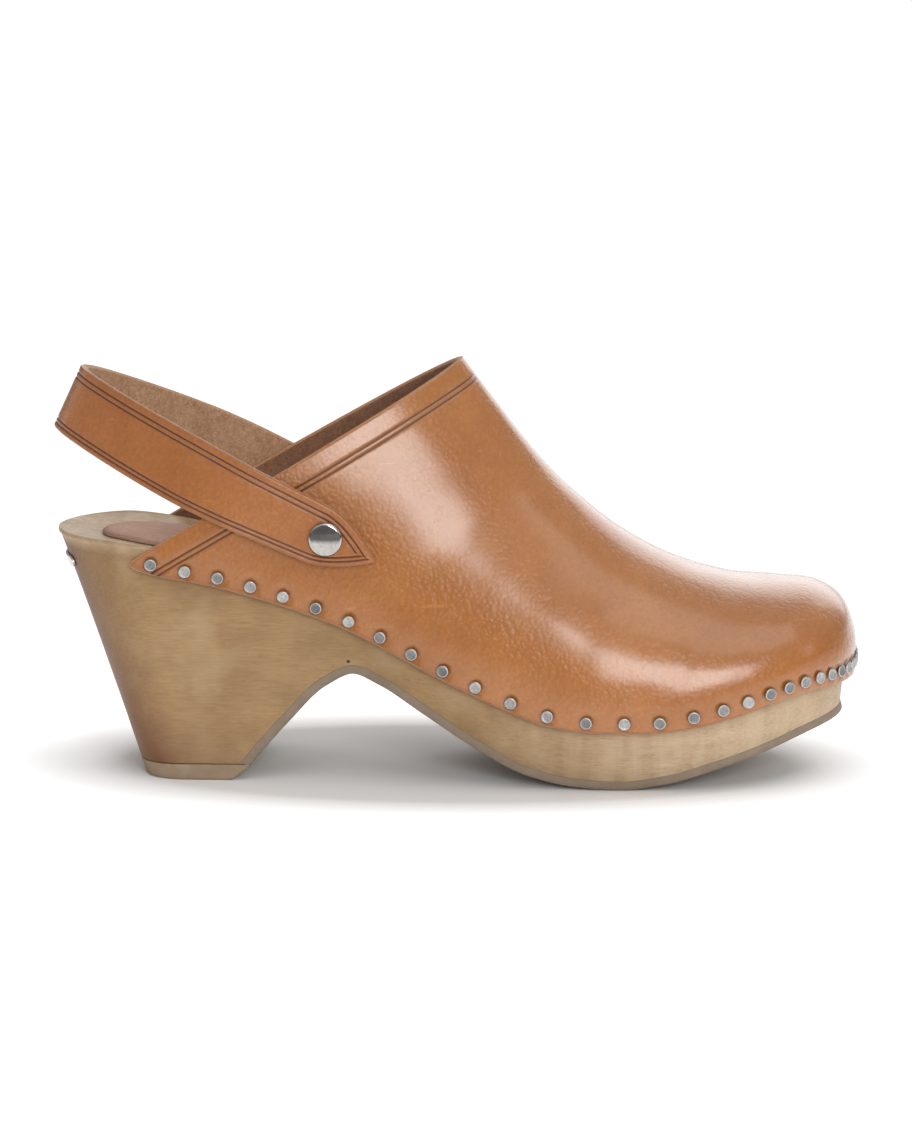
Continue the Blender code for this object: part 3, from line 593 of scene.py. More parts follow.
NAIL_DULL, NAIL_BRIGHT = (0.20, 0.20, 0.21), (0.66, 0.65, 0.63)
NAIL_GRIME, NAIL_BEVEL = (0.13, 0.12, 0.12), (0.54, 0.54, 0.54)


def nail_look(name):
    """Flat-headed steel nails, each of its own brightness, with a bevel worn bright."""
    look = Look(name)
    worn = look.noise(0.9, 4.0, 0.65)
    face = look.blend(look.mark("tone"), NAIL_DULL, NAIL_BRIGHT)
    face = look.blend(look.span(worn, 0.35, 0.7, 0.5, 0.0), face, NAIL_GRIME)
    look.set(Base_Color=look.blend(look.mark("worn"), face, NAIL_BEVEL), Metallic=1.0,
             Roughness=look.span(worn, 0.3, 0.75, 0.55, 0.38))
    look.bump((worn, 0.02), (handling_lines(look), 0.012))
    return look.material


# The third colour is the painted shade of the pressed lines, of the rings round the nails and of the edges.
TAN_LIGHT, TAN_DARK, PRESSED_AND_SHADE = (0.490, 0.190, 0.048), (0.400, 0.138, 0.030), (0.070, 0.017, 0.006)
grain = leather_look("grain_leather", TAN_LIGHT, TAN_DARK, PRESSED_AND_SHADE)
strap_grain = leather_look("strap_grain_leather", (0.50, 0.195, 0.064), (0.41, 0.140, 0.041), PRESSED_AND_SHADE,
                           coat=0.5)
lining = suede_look("flesh_side", (0.33, 0.17, 0.10), (0.21, 0.097, 0.052))
strap_suede = suede_look("strap_flesh_side", (0.50, 0.31, 0.185), (0.35, 0.185, 0.095))
cut_edge = edge_look("cut_edge", (0.55, 0.30, 0.155), (0.36, 0.155, 0.07))
wood = wood_look("pale_wood_fine")
sole_rubber = rubber_look("outsole_rubber", (0.29, 0.22, 0.16), (0.22, 0.165, 0.115))
tip_rubber = rubber_look("heel_tip_rubber", (0.36, 0.265, 0.17), (0.27, 0.19, 0.12))
pad_skin = leather_look("pad_leather_fine", (0.64, 0.42, 0.32), (0.55, 0.345, 0.26), (0.20, 0.10, 0.06),
                        gloss=(0.62, 0.75), specular=0.12, coat=0.0)
nail_steel = nail_look("nail_steel")
dark_steel = metal_look("dark_steel", (0.10, 0.085, 0.075), 0.5, 0.01)
cap_chrome = metal_look("cap_chrome", (0.64, 0.61, 0.58), 0.08, 0.0008)
plate_steel = metal_look("plate_steel", (0.88, 0.87, 0.85), 0.36, 0.004)


# ---- Wooden sole ----

WALL_ROWS, BED_COLUMNS, UNDER_COLUMNS, ROUND_STEPS = 22, 25, 9, 5
DARK_HEEL_REACH, DARK_HEEL_LEAN = 19.0, 0.32  # how far the red-brown back reaches in, and its lean


def wood_section(t):
    """Closed section of the wood at t: up the lateral wall, round the rim, over the footbed and down."""
    rim_x, rim_half = outline(t)
    height = rim_height(rim_x) - underside(t)[1]
    drops = np.linspace(1.0, RIM_ROUND / height, WALL_ROWS)
    lateral, medial = wall(t, -1, drops), wall(t, 1, drops[::-1])
    turn = np.linspace(0, math.pi / 2, ROUND_STEPS + 2)[1:-1]
    inset = np.minimum(RIM_ROUND * (1 - np.cos(turn)), rim_half * 0.5)
    lift = RIM_ROUND * (1 - np.sin(turn))
    inner = max(rim_half - RIM_ROUND, rim_half * 0.5)
    shares = np.linspace(-1, 1, BED_COLUMNS) * inner / max(rim_half, 1e-6)
    middle = centre(rim_x)
    bed = np.stack([np.full(BED_COLUMNS, rim_x), middle + shares * rim_half, footbed(rim_x, shares)], -1)
    left = np.stack([np.full(ROUND_STEPS, rim_x), middle - rim_half + inset, rim_height(rim_x) - lift], -1)
    right = left[::-1] * (1, -1, 1) + (0, 2 * middle, 0)
    below = mix(medial[-1], lateral[0], np.linspace(0, 1, UNDER_COLUMNS)[1:-1, None])
    return np.concatenate([lateral, left, bed, right, medial, below])


corner_t = 1 + (HEEL_FRONT_RIM - SEAT_FRONT) / (BALL_X - SEAT_FRONT)
sole_stations = np.unique(np.concatenate([np.linspace(0, 1, 34) ** 1.3, np.linspace(1, 2, 150), [corner_t],
                                          2 + np.sin(np.linspace(0, math.pi / 2, 44))]))
sections = np.array([wood_section(t) for t in sole_stations])
x, y, z = np.moveaxis(sections, -1, 0)
# Darker red-brown toward the heel's back and toward the ground on the heel block, a little patchy, and
# never on the top.
dark_heel_end = HEEL_FOOT_BACK + DARK_HEEL_REACH - DARK_HEEL_LEAN * (z - HEEL_TIP_TOP)
back = np.clip((dark_heel_end - x) / DARK_HEEL_REACH, 0, 1)
low = ramp(z, 30, 4) * ramp(x, -54, -88)
uneven = 0.5 + 0.5 * waves(sections, 30, 3)
dark_heel = np.clip(back**1.5 + 0.5 * low + 0.06, 0, 1) * (0.65 + 0.35 * uneven)
on_top = np.clip((z - footbed(x, 0.9) + 4) / 3, 0, 1)
dark_heel *= 1 - on_top
# Paler toward the toe, and painted paler on the footbed and its rounded rim as a painted highlight.
pale = np.clip(0.92 * ramp(x, 10, 60) + 0.6 * on_top + 0.10 * uneven, 0, 1)
# Painted shade in a band just under the leather's edge, on the wood's side wall.
below_leather = curve(WELT_HEIGHTS, x) - z
shade = 0.38 * np.exp(-((below_leather / 2.6) ** 2)) * (1 - on_top) * ramp(x, -100, -92)
add_piece("sole_wood", "shoe", sections, ring_quads(sections), [wood],
          ["wooden_sole"], marks={"dark_heel": dark_heel, "pale": pale, "shade": shade}, sharp_angle=38.0)


# ---- Leather upper ----

def tack_axis(name):
    """(middle of the head's top, outward direction) of a CAD tack, in millimetres."""
    spots = np.unique(np.round([v.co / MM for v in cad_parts[name].data.vertices], 4), axis=0)
    middle = spots.mean(0)
    tip = spots[np.argmax(np.linalg.norm(spots - middle, axis=1))]
    out = unit(middle - tip)
    return tip + out * ((spots - tip) @ out).max(), out


def halfway(tops, outs):
    """Head tops and outward directions between neighbours of a row, on a smooth line through them all."""
    ends = np.concatenate([2 * tops[:1] - tops[1:2], tops, 2 * tops[-1:] - tops[-2:-1]])
    between = (9 * (tops[:-1] + tops[1:]) - ends[:-3] - ends[3:]) / 16
    return list(zip(between, unit(outs[:-1] + outs[1:])))


tack_names = sorted(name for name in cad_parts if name.startswith("tack_"))
tacks = {name: tack_axis(name) for name in tack_names}
# The CAD model has every other nail of the inner side; the ones between are added here.
inner_row = [name for name in tack_names if "medial" in name] + ["tack_toe"]
row_tops, row_outs = (np.array([tacks[name][k] for name in inner_row]) for k in (0, 1))
added = {f"tack_between_{k:02d}": spot for k, spot in enumerate(halfway(row_tops, row_outs), 1)}
all_tacks = {**tacks, **added}

# Rows run round from collar to toe and columns over the foot, closer together at the leather's edges.
EDGE_BAND = 0.085
FAR = 99.0  # a distance beyond every effect of an edge or a nail
edge_turns = 1 - np.linspace(0, EDGE_BAND, 15)
inner_turns = np.linspace(0, 0.905, 60)
half_turns = np.concatenate([inner_turns, edge_turns[::-1]])
turns = np.concatenate([-half_turns[:0:-1], half_turns])
collar_s = trimmed(np.zeros_like(turns), turns)
collar = upper_point(collar_s, turns)

COLLAR_BAND = 10.0  # its rows lie at even distances from the collar's edge
search = np.linspace(0, 1, 90) ** 1.4 * 0.30
distances = around_lines(COLLAR_CREASES, 0.0, COLLAR_BAND, 0.65)
near_s = np.empty((len(distances), len(turns)))
for j, turn in enumerate(turns):
    tried_s = collar_s[j] + search
    spots = upper_point(tried_s, np.full_like(tried_s, turn))
    gaps = np.linalg.norm(spots[:, None] - collar[None], axis=-1).min(1)
    near_s[:, j] = np.interp(distances, np.maximum.accumulate(gaps), tried_s)
share = np.linspace(0, 1, 290)[1:]
share = 0.8 * share + 0.2 * (1 - (1 - share) ** 2)
far_s = near_s[-1] + (1 - near_s[-1]) * share[:, None]
upper_s = np.concatenate([near_s, far_s])
leather = upper_point(upper_s, np.broadcast_to(turns, upper_s.shape))
normals = grid_normals(leather)
band_distances = np.broadcast_to(distances[:, None], near_s.shape)
from_collar = np.concatenate([band_distances, np.full(far_s.shape, FAR)])
press = groove(from_collar, COLLAR_CREASES)
TACK_DEPTH = 1.1  # from the top of a CAD nail's head down to about the leather's face
near_tack = np.full(upper_s.shape, FAR)
for top, out in all_tacks.values():
    gap = np.linalg.norm(leather - (top - out * TACK_DEPTH), axis=-1)
    near_tack = np.minimum(near_tack, gap)
dimple = TACK_DIMPLE * np.exp(-((np.maximum(near_tack - TACK_HEAD_RADIUS, 0) / DIMPLE_WIDTH) ** 2))
soft = 0.24 * waves(leather, 55, 11) + 0.06 * waves(leather, 17, 12)
fade = ramp(near_tack, 3, 11) * ramp(from_collar, 0, COLLAR_BAND)
outer = leather - normals * (press + dimple - soft * fade)[..., None]
inner = leather - normals * LEATHER

# The loop of points round the sheet's edge, and each one's neighbour one step in from it.
rows, columns = upper_s.shape
count = rows * columns
index = np.arange(count).reshape(rows, columns)
loop = np.concatenate([index[0], index[1:, -1], index[-1, -2::-1], index[-2:0:-1, 0]])
inward = np.concatenate([index[1], index[1:, -2], index[-2, -2::-1], index[-2:0:-1, 1]])
flat_outer, flat_inner = outer.reshape(-1, 3), inner.reshape(-1, 3)
edge_out = unit(flat_outer[loop] - flat_outer[inward])
EDGE_SWELL = [(0.12, 0.30), (0.32, 0.46), (0.68, 0.46), (0.88, 0.30)]  # share of the thickness, swell
rims = [mix(flat_outer[loop], flat_inner[loop], depth) + edge_out * swell for depth, swell in EDGE_SWELL]
points = np.concatenate([flat_outer, flat_inner] + rims)
outer_faces = grid_quads(rows, columns)
inner_faces = grid_quads(rows, columns, count)[:, ::-1]
rim_loops = [2 * count + k * len(loop) + np.arange(len(loop)) for k in range(len(rims))]
rim_loops = [loop] + rim_loops + [count + loop]
rim_faces = np.concatenate([np.stack([a, b, np.roll(b, -1), np.roll(a, -1)], -1)
                            for a, b in zip(rim_loops, rim_loops[1:])])
# Painted shade along the leather's lower edges and a painted shadow ring round each nail head, added to the
# pressed lines' painted shade.
columns_in = np.minimum(np.arange(columns), np.arange(columns)[::-1])  # from the lower edge
edge_shade = 0.30 * np.exp(-(columns_in / 1.5) ** 2)
tack_shade = 0.35 * np.exp(-((near_tack - TACK_HEAD_RADIUS) / 0.45) ** 2)
shade = CREASE_SHADE * press / CREASE_DEPTH + tack_shade + edge_shade
shade = np.concatenate([shade.ravel(), np.zeros(len(points) - count)])
upper_faces = [outer_faces, inner_faces, rim_faces]
face_looks = np.repeat([0, 1, 2], [len(faces) for faces in upper_faces])
add_piece("upper_leather", "shoe", points, np.concatenate(upper_faces),
          [grain, lining, cut_edge], ["upper"], face_looks, {"shade": np.clip(shade, 0, SHADE_LIMIT)},
          sharp_angle=60.0)


# ---- Heel strap ----

STRAP_MIDDLE = STRAP_INSIDE + STRAP_THICKNESS / 2
STRAP_LOOP = [(0.0, STRAP_MIDDLE)] + STRAP_BEND + [(STRAP_REACH, 0.0)]
STRAP_LOOP += [(u, -y) for u, y in reversed(STRAP_LOOP[:-1])]
BACKWARD = np.array((-math.cos(STRAP_ANGLE), 0.0, math.sin(STRAP_ANGLE)))
ACROSS = np.array((math.sin(STRAP_ANGLE), 0.0, math.cos(STRAP_ANGLE)))
PIVOT = np.array((PIVOT_X, 0.0, PIVOT_Z))
EDGE_ROUND = 0.5


def face_lift(inset):
    """Height of the band's face over its middle: rounded off at the edge."""
    near = np.clip(1 - np.asarray(inset, float) / EDGE_ROUND, 0, 1)
    return STRAP_THICKNESS / 2 - EDGE_ROUND * (1 - np.sqrt(1 - near * near))


fine = around_lines(LOWER_STRAP_CREASES + UPPER_STRAP_CREASES, 0.6, 4.9, 0.5)
fine = np.concatenate([[0.0, 0.1, 0.28], fine, [5.4, 6.4]])
coarse = np.array([0.0, 0.1, 0.28, 0.6, 2.0, 4.0, 6.4])
middle = np.linspace(-1, 1, 11)[1:-1]
rolled = [(-0.12, 0.6), (-0.2, 0.0), (-0.12, -0.6)]  # inset and lift across the cut edge
# Columns round the band's section: inset from its edge, side (or share of the half width), lift, look.
section = [(i, -1.0, face_lift(i) - groove(i, LOWER_STRAP_CREASES), 0) for i in fine]
section += [(fine[-1], m, STRAP_THICKNESS / 2, 0) for m in middle]
section += [(i, 1.0, face_lift(i) - groove(i, UPPER_STRAP_CREASES), 0) for i in fine[::-1]]
section += [(i, 1.0, lift, 2) for i, lift in rolled]
section += [(i, 1.0, -face_lift(i), 1) for i in coarse]
section += [(coarse[-1], m, -STRAP_THICKNESS / 2, 1) for m in middle[::-1]]
section += [(i, -1.0, -face_lift(i), 1) for i in coarse[::-1]]
section += [(i, -1.0, -lift, 2) for i, lift in rolled]
strap_insets, strap_shares, strap_lifts, strap_looks = np.array(section).T


def tip_half(u):
    """Half width of the pointed end."""
    return STRAP_HALVES[0][1] * (1 - np.clip((STRAP_TAPER - u) / (STRAP_TIP + STRAP_TAPER), 0, 1) ** 1.6)


tip_line = np.linspace(-STRAP_TIP - 1, STRAP_TAPER, 500)
tip_rows = np.linspace(0, 1, 46) ** 1.2
steep = np.sqrt(1 + np.gradient(tip_half(tip_line), tip_line) ** 2)
tip_uv = {}
for inset in set(strap_insets):
    room = tip_half(tip_line) - inset * steep
    room[tip_line < -STRAP_TIP] = -1e-3  # no room beyond the point
    u = mix(tip_line[np.argmax(room > 0)], STRAP_TAPER, tip_rows)
    tip_uv[inset] = u, np.where(tip_rows > 0, np.interp(u, tip_line, room), 0.0)
tip = np.array([tip_uv[inset] for inset in strap_insets]).transpose(2, 0, 1)
line = path(STRAP_LOOP, np.linspace(0, 0.5, 190))
line = line[line[:, 0] > STRAP_TAPER + 0.4]
line[-1] = (STRAP_REACH, 0.0)
along = unit(np.gradient(line, axis=0))
along[-1] = (0.0, -1.0)
band_u = np.broadcast_to(line[:, :1], (len(line), len(section)))
band_v = (curve(STRAP_HALVES, line[:, 0])[:, None] - strap_insets) * strap_shares
u = np.concatenate([tip[..., 0], band_u])
v = np.concatenate([tip[..., 1] * strap_shares, band_v])
y = np.concatenate([np.full(len(tip), STRAP_MIDDLE), line[:, 1]])[:, None]
out_u = np.concatenate([np.zeros(len(tip)), -along[:, 1]])[:, None]
out_y = np.concatenate([np.ones(len(tip)), along[:, 0]])[:, None]
half_strap = PIVOT + (u + out_u * strap_lifts)[..., None] * BACKWARD + v[..., None] * ACROSS
half_strap[..., 1] = y + out_y * strap_lifts
strap_points = np.concatenate([half_strap, half_strap[-2::-1] * (1, -1, 1)])
strap_pressed = np.where(strap_shares < 0, groove(strap_insets, LOWER_STRAP_CREASES),
                         groove(strap_insets, UPPER_STRAP_CREASES))
# Painted shade in the pressed lines and along the rounded edges of the grain side.
strap_shade = CREASE_SHADE * strap_pressed / CREASE_DEPTH * (strap_lifts > 0)
strap_shade += 0.25 * np.exp(-(strap_insets / EDGE_ROUND) ** 2) * (strap_lifts > 0)
strap_shade = np.broadcast_to(np.clip(strap_shade, 0, SHADE_LIMIT), strap_points.shape[:2])
add_piece("strap_band", "strap", strap_points, ring_quads(strap_points),
          [strap_grain, strap_suede, cut_edge], ["heel_strap"],
          np.tile(strap_looks, len(strap_points) - 1), {"shade": strap_shade}, sharp_angle=60.0)


# ---- Rubber outsole and heel tip ----

OUTSOLE_TOP = 0.06  # the glued sheet lies against the wood
TOE_BEVEL = 1.2
# Down the sheet's edge: share of its thickness, inset, and how far the toe's bevel adds to the inset.
OUTSOLE_EDGE = [(0.0, 0.0, 0.0), (0.35, 0.08, 0.0), (0.5, 0.12, 0.2), (0.85, 0.3, 0.75), (0.95, 0.55, 0.9),
                (1.0, 1.1, 1.0)]


def outsole_section(t):
    """Section of the sheet under the wood at t, square to the underside and trimmed level at the heel."""
    x, z, half = (float(value) for value in underside(t))
    at_heel = t <= corner_t
    step = 0.5
    back_step = 0.0 if at_heel else step
    slope = curve(UNDERSIDE, x + step) - curve(UNDERSIDE, x - back_step)
    along = unit(np.array((step + back_step, 0.0, slope)))
    down = np.array((along[2], 0.0, -along[0]))
    bevel = TOE_BEVEL * float(ramp(x, 70, 100))
    edge = []
    for share, inset, bevelled in OUTSOLE_EDGE:
        depth = GAP + share * OUTSOLE_THICKNESS if share else OUTSOLE_TOP
        inset += bevelled * bevel
        spot = np.array((x, 0.0, z)) + down * depth
        if at_heel:
            spot = spot + along * max(0.0, HEEL_TIP_TOP + GAP - spot[2]) / max(along[2], 0.1)
        edge.append((spot, max(half - inset, half * 0.3)))
    y = float(centre(outline(t)[0]))
    left = [spot + (0, y - wide, 0) for spot, wide in edge]
    right = [spot + (0, y + wide, 0) for spot, wide in edge[::-1]]
    under = [mix(left[-1], right[0], share) for share in np.linspace(0, 1, 9)[1:-1]]
    over = [mix(right[-1], left[0], share) for share in np.linspace(0, 1, 5)[1:-1]]
    return left + under + right + over


outsole_stations = sole_stations[sole_stations >= corner_t - 1e-9]
outsole_points = np.array([outsole_section(t) for t in outsole_stations])
outsole_faces = list(ring_quads(outsole_points))
outsole_faces.append(np.arange(outsole_points.shape[1]))
add_piece("outsole_sheet", "shoe", outsole_points, outsole_faces, [sole_rubber],
          ["outsole"], sharp_angle=50.0)


def heel_tip_outline(z, inset):
    """Level outline of the heel tip: its round back, then straight to the front edge."""
    back = mix(HEEL_FOOT_BACK + 1.6, HEEL_FOOT_BACK, z / HEEL_TIP_TOP) + inset
    front = HEEL_FRONT + np.interp(z, (0.0, 0.6, 3.2, HEEL_TIP_TOP), (-2.2, -1.4, 1.6, 3.9)) - inset
    half = HEEL_FOOT_HALF - inset
    turn = np.linspace(-1, 1, 61)
    angle = (1 - np.abs(turn)) * math.pi / 2
    wide = half * np.maximum(np.cos(angle), 0.0) ** HEEL_FOOT_POWER
    ring_x = back + HEEL_FOOT_REACH * (1 - np.sin(angle))
    ring = np.stack([ring_x, np.copysign(wide, turn), np.full_like(turn, z)], -1)
    cut = [(front - 0.4, half, z), (front, half - 0.5, z)]
    cut += [(front, share * half, z) for share in np.linspace(0.9, -0.9, 9)]
    cut += [(front, 0.5 - half, z), (front - 0.4, -half, z)]
    return np.concatenate([ring, cut])


# Height and inset of each level, rounded off at the ground and at the top.
tip_levels = [(0.0, 0.6), (0.08, 0.3), (0.3, 0.08), (0.7, 0.0), (2.0, 0.0), (3.2, 0.0), (4.4, 0.0),
              (4.85, 0.08), (HEEL_TIP_TOP, 0.35)]
heel_tip_points = np.array([heel_tip_outline(*level) for level in tip_levels])
ring_size = heel_tip_points.shape[1]
heel_tip_faces = list(ring_quads(heel_tip_points))
heel_tip_faces += [np.arange(ring_size), (len(tip_levels) - 1) * ring_size + np.arange(ring_size)]
add_piece("heel_tip_block", "shoe", heel_tip_points, heel_tip_faces, [tip_rubber],
          ["heel_tip"])


# ---- Seat pad and heel plate ----

PAD_ROUND = 1.6  # width of its rounded edge
PAD_EDGE = 0.25  # share of the thickness left at the very edge
PAD_CROWN = 0.35
pad_turn = np.linspace(0, math.pi, 90)[:, None]
pad_x = mix(PAD_BACK, PAD_FRONT, (1 - np.cos(pad_turn)) / 2)
pad_half = PAD_HALF * np.maximum(np.sin(pad_turn), 0.0) ** 0.85
in_seat = np.clip((SEAT_FRONT - pad_x) / SEAT_REACH, 0, 1)
seat_half = np.where(pad_x < SEAT_FRONT, SEAT_HALF * np.sqrt(1 - in_seat**2), curve(SIDE_HALVES, pad_x))
share = np.concatenate([np.linspace(-1, 1, 9), np.linspace(1, -1, 41)])  # under the pad, then over it
level = np.repeat([0, 1], [9, 41])
reach = np.sqrt(np.cos(pad_turn) ** 2 + (share * np.sin(pad_turn)) ** 2)
near = np.clip(1 - (1 - reach) * PAD_HALF / PAD_ROUND, 0, 1)
pad_y = centre(pad_x) + share * pad_half
swell = PAD_THICKNESS * (PAD_EDGE + (1 - PAD_EDGE) * np.sqrt(1 - near * near)) + PAD_CROWN * (1 - reach**2)
pad_z = footbed(pad_x, share * pad_half / seat_half) + GAP + level * swell
pad_points = np.stack([np.broadcast_to(pad_x, pad_y.shape), pad_y, pad_z], -1)
pad_points[..., 2] += level * 0.12 * waves(pad_points, 22, 5) * (1 - near)
# The "shade" mark is painted shade toward the pad's rounded edge, on its top only.
seat_pad = add_piece("seat_pad_cover", "shoe", pad_points,
                     ring_quads(pad_points), [pad_skin], ["seat_pad"],
                     marks={"shade": 0.5 * near * level})


def heel_back(turn, drop, lift):
    """Points over the heel's back wall: turn runs from -1 on the lateral side to 1 on the medial side."""
    side, t = np.copysign(1.0, turn), np.abs(turn) * PLATE_SPAN
    here = wall(t, side, drop)
    out = np.cross(wall(t + 0.02, side, drop) - here, wall(t, side, drop - 0.02) - here)
    out *= np.where(out[..., :1] > 0, -1.0, 1.0)
    return here + unit(out) * lift[..., None]


PLATE_CORNER = 0.14
# Across the plate: share of its half width, and thickness there; over the front, then back along the wood.
PLATE_SECTION = [(-1, 0.35), (-0.97, 0.6), (-0.9, 0.7), (-0.5, 0.7), (0, 0.7), (0.5, 0.7), (0.9, 0.7),
                 (0.97, 0.6), (1, 0.35), (1, 0), (0.5, 0), (0, 0), (-0.5, 0), (-1, 0)]
plate_turns = np.sin(np.linspace(-math.pi / 2, math.pi / 2, 61))
rounded = np.sqrt(1 - np.clip((np.abs(plate_turns) - 1 + PLATE_CORNER) / PLATE_CORNER, 0, 1) ** 2)
across, lifts = np.array(PLATE_SECTION).T
lifts = lifts + GAP
middle_drop, half_drop = sum(PLATE_DROPS) / 2, (PLATE_DROPS[1] - PLATE_DROPS[0]) / 2
plate_drop = middle_drop + half_drop * rounded[:, None] * across
plate_points = heel_back(np.broadcast_to(plate_turns[:, None], plate_drop.shape), plate_drop,
                         np.broadcast_to(lifts, plate_drop.shape))
add_piece("heel_plate_blank", "shoe", plate_points,
          ring_quads(plate_points), [plate_steel], ["heel_plate"])


# ---- Nails and rivets ----

# Radius, height and how bright the metal is worn there: a flat face inside a bevelled ring.
HEAD_PROFILE = [(0.0, -1.6, 0.0), (0.6, -1.5, 0.0), (0.6, 0.0, 0.0), (1.7, 0.0, 0.0), (1.84, 0.08, 0.0),
                (1.9, 0.25, 0.1), (1.87, 0.44, 0.5), (1.78, 0.58, 1.0), (1.62, 0.67, 1.0), (1.5, 0.68, 0.5),
                (1.42, 0.64, 0.0), (0.8, 0.63, 0.0), (0.0, 0.63, 0.0)]
HEAD_TURNS = 36
HEAD_SINK = 0.36  # how far each head is driven into the leather
HEAD_TILT = 0.07
draw = np.random.default_rng(7)
head_shape = [row[:2] for row in HEAD_PROFILE]
head_worn = np.repeat([row[2] for row in HEAD_PROFILE], HEAD_TURNS)
for name, (top, out) in all_tacks.items():
    tilt = unit(out + draw.normal(scale=HEAD_TILT, size=3))
    head = turned_points(head_shape, HEAD_TURNS, top - out * (HEAD_PROFILE[-1][1] + HEAD_SINK), tilt)
    add_piece(name.replace("tack", "nail"), "shoe", head, ring_quads(head),
              [nail_steel], [name] if name in tacks else (), sharp_angle=50.0,
              marks={"worn": head_worn, "tone": np.full(head_worn.shape, draw.random() ** 0.8)})

# Small pin at the top of the arch on each side.
PIN_PROFILE = [(0.0, -1.0), (0.5, -0.9), (0.5, 0.1), (0.38, 0.22), (0.0, 0.26)]
for name, side in (("lateral", -1), ("medial", 1)):
    spot = wall(PIN_T, side, PIN_DROP)
    along = wall(PIN_T + 0.01, side, PIN_DROP) - spot
    out = np.cross(along, wall(PIN_T, side, PIN_DROP - 0.02) - spot)
    pin = turned_points(PIN_PROFILE, 20, spot, out * np.sign(out[1]) * side)
    add_piece(f"arch_pin_{name}", "shoe", pin, ring_quads(pin), [dark_steel])

# The cap stands on a short foot; its rounded side turns into a slightly domed face.
CAP_ROUND, CAP_FOOT, CAP_SIDE, CAP_DOME = 1.0, 0.45, 1.15, 0.32
cap_face = RIVET_CAP_RADIUS - CAP_ROUND
cap_profile = [(0.0, 0.0), (RIVET_CAP_RADIUS - 0.4, 0.0), (RIVET_CAP_RADIUS - 0.15, 0.12)]
cap_profile += [(cap_face + CAP_ROUND * math.cos(turn), CAP_FOOT + CAP_SIDE * math.sin(turn))
                for turn in np.linspace(0, math.pi / 2, 9)]
cap_profile += [(cap_face * share, CAP_FOOT + CAP_SIDE + CAP_DOME * (1 - share * share))
                for share in np.linspace(0.92, 0, 12)]
for name, side in (("lateral", -1), ("medial", 1)):
    base = (PIVOT_X, side * (STRAP_INSIDE + STRAP_THICKNESS + GAP), PIVOT_Z)
    cap = turned_points(cap_profile, 96, base, (0, side, 0))
    add_piece(f"cap_{name}", "shoe", cap, ring_quads(cap), [cap_chrome],
              [f"rivet_cap_{name}"], sharp_angle=50.0)
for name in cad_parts:
    if name.startswith(("rivet_post", "rivet_washer")):
        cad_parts[name].data.materials[0] = nail_steel


# ---- Studio ----

WHITE = (1.0, 1.0, 1.0, 1.0)
FILL_LOW, FILL_HIGH = 0.15, 0.54  # world light from the horizon and from above
LIGHT_AIM = (0.0, 0.0, 0.06)
# Name, azimuth from the camera's side toward the toe, elevation, distance, size and power.
STUDIO_LIGHTS = [
    ("key_box", 14, 21, 1.6, (0.62, 0.56), 9.4),
    ("top_box", 35, 68, 1.5, (1.2, 0.9), 4.4),
    ("toe_box", 72, 22, 1.7, (0.4, 0.6), 0.9),
    ("back_box", 168, 25, 1.5, (1.5, 1.1), 7.6),
    ("heel_box", -112, 14, 1.6, (0.5, 0.8), 0.7),
]


def direction(azimuth, elevation):
    """Unit vector from the shoe, in degrees round from the camera's side and up."""
    turn, rise = math.radians(azimuth), math.radians(elevation)
    return np.array((math.sin(turn) * math.cos(rise), -math.cos(turn) * math.cos(rise), math.sin(rise)))


def add_light(name, spot, size, power):
    lamp = bpy.data.lights.new(name, "AREA")
    lamp.shape = "RECTANGLE"
    lamp.size, lamp.size_y = size
    lamp.energy = power
    made = place(name, lamp)
    made.location = spot
    made.rotation_euler = (Vector(LIGHT_AIM) - Vector(spot)).to_track_quat("-Z", "Y").to_euler()


floor_mesh = bpy.data.meshes.new("floor")
bm = bmesh.new()
bmesh.ops.create_circle(bm, cap_ends=True, radius=12.0, segments=64)
bm.to_mesh(floor_mesh)
bm.free()
floor = place("floor", floor_mesh)
# The floor is plain pale paint under the shoe, where its shadow falls, and glows white all round.
paper = Look("floor_paint")
oval = paper.node("ShaderNodeVectorMath", {0: paper.place, 1: (0.95, 2.0, 1.0)}, operation="MULTIPLY")
distance = paper.node("ShaderNodeVectorMath", {0: oval.outputs[0]}, operation="LENGTH").outputs["Value"]
glow = paper.span(distance, 0.10, 0.165)
paint = paper.span(distance, 0.11, 0.24, 0.86, 0.12)
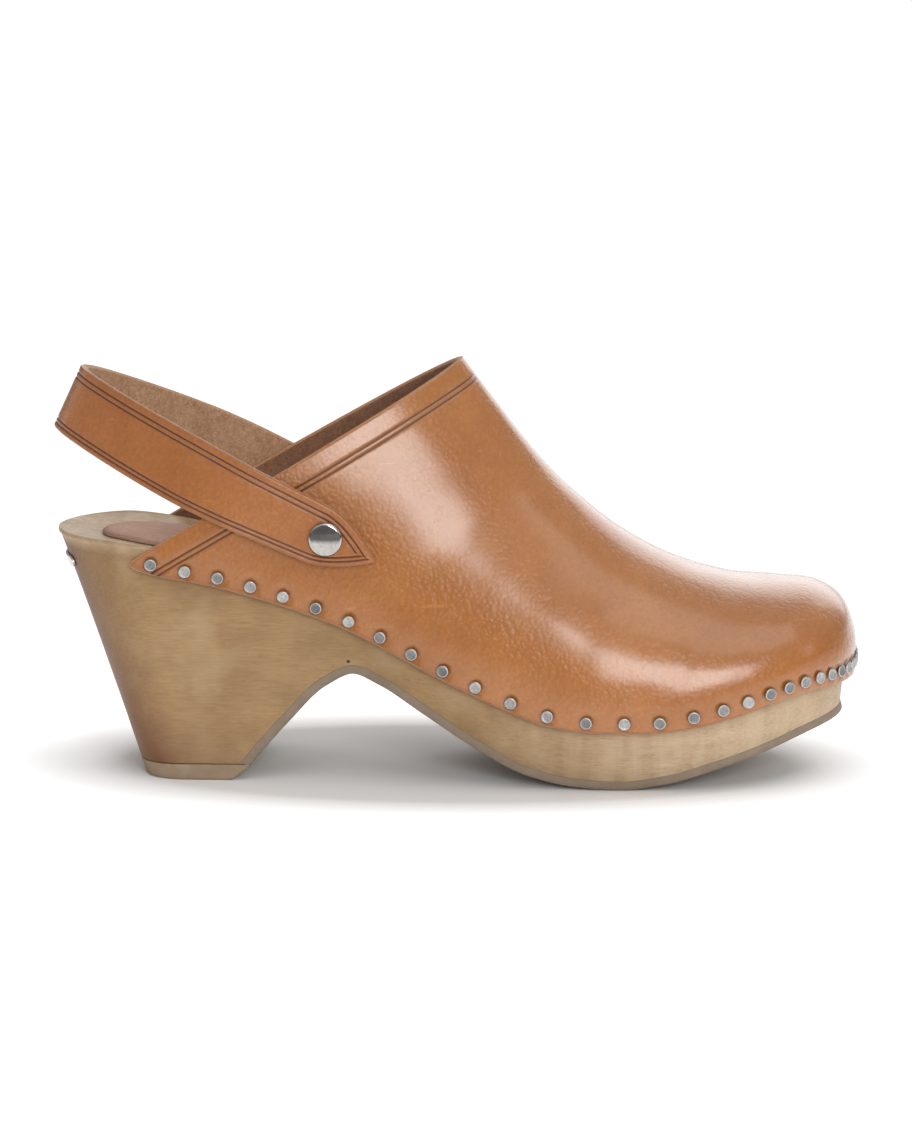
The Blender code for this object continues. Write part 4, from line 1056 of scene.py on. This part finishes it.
# On the lateral side the pale floor fades out in reflections, as if it ended in a darker room.
in_view = paper.node("ShaderNodeLightPath").outputs["Is Camera Ray"]
sideways = paper.node("ShaderNodeSeparateXYZ", {0: paper.place}).outputs["Y"]
mirrored = paper.span(sideways, -0.46, -0.30, 0.1, 1.0)
paper.set(Base_Color=paper.node("ShaderNodeCombineColor", {0: paint, 1: paint, 2: paint}).outputs[0],
          Roughness=0.9, Specular_IOR_Level=0.0, Emission_Color=WHITE,
          Emission_Strength=paper.maths("MULTIPLY", glow, paper.maths("MAXIMUM", in_view, mirrored)))
floor_mesh.materials.append(paper.material)

# The camera sees a white backdrop; the shoe is lit by a fill that is brighter from above.
world = bpy.data.worlds.new("studio")
sky = NodeTree(world)
backdrop = sky.tree.nodes["Background"]
sky.put(backdrop, "Color", WHITE)
sky.put(backdrop, "Strength", 1.0)
toward = sky.node("ShaderNodeTexCoord").outputs["Generated"]
height = sky.node("ShaderNodeSeparateXYZ", {0: toward}).outputs["Z"]
strength = sky.span(height, 0.1, 0.7, FILL_LOW, FILL_HIGH)
fill = sky.node("ShaderNodeBackground", {"Color": WHITE, "Strength": strength}).outputs[0]
in_view = sky.node("ShaderNodeLightPath").outputs["Is Camera Ray"]
either = sky.node("ShaderNodeMixShader", {0: in_view, 1: fill, 2: backdrop.outputs[0]}).outputs[0]
sky.put(sky.tree.nodes["World Output"], "Surface", either)
bpy.context.scene.world = world
bpy.context.scene.view_settings.view_transform = "Standard"

for name, azimuth, elevation, reach, size, power in STUDIO_LIGHTS:
    add_light(name, reach * direction(azimuth, elevation), size, power)

CAMERA_TURN, CAMERA_RISE, CAMERA_REACH = 2.4, 11.0, 1.324
CAMERA_AIM = (0.0, 0.0, 0.0622)
camera_data = bpy.data.cameras.new("camera")
camera_data.lens = 133.2
camera = place("camera", camera_data)
away = Vector(direction(CAMERA_TURN, CAMERA_RISE))
camera.location = Vector(CAMERA_AIM) + away * CAMERA_REACH
camera.rotation_euler = away.to_track_quat("Z", "Y").to_euler()
bpy.context.scene.camera = camera
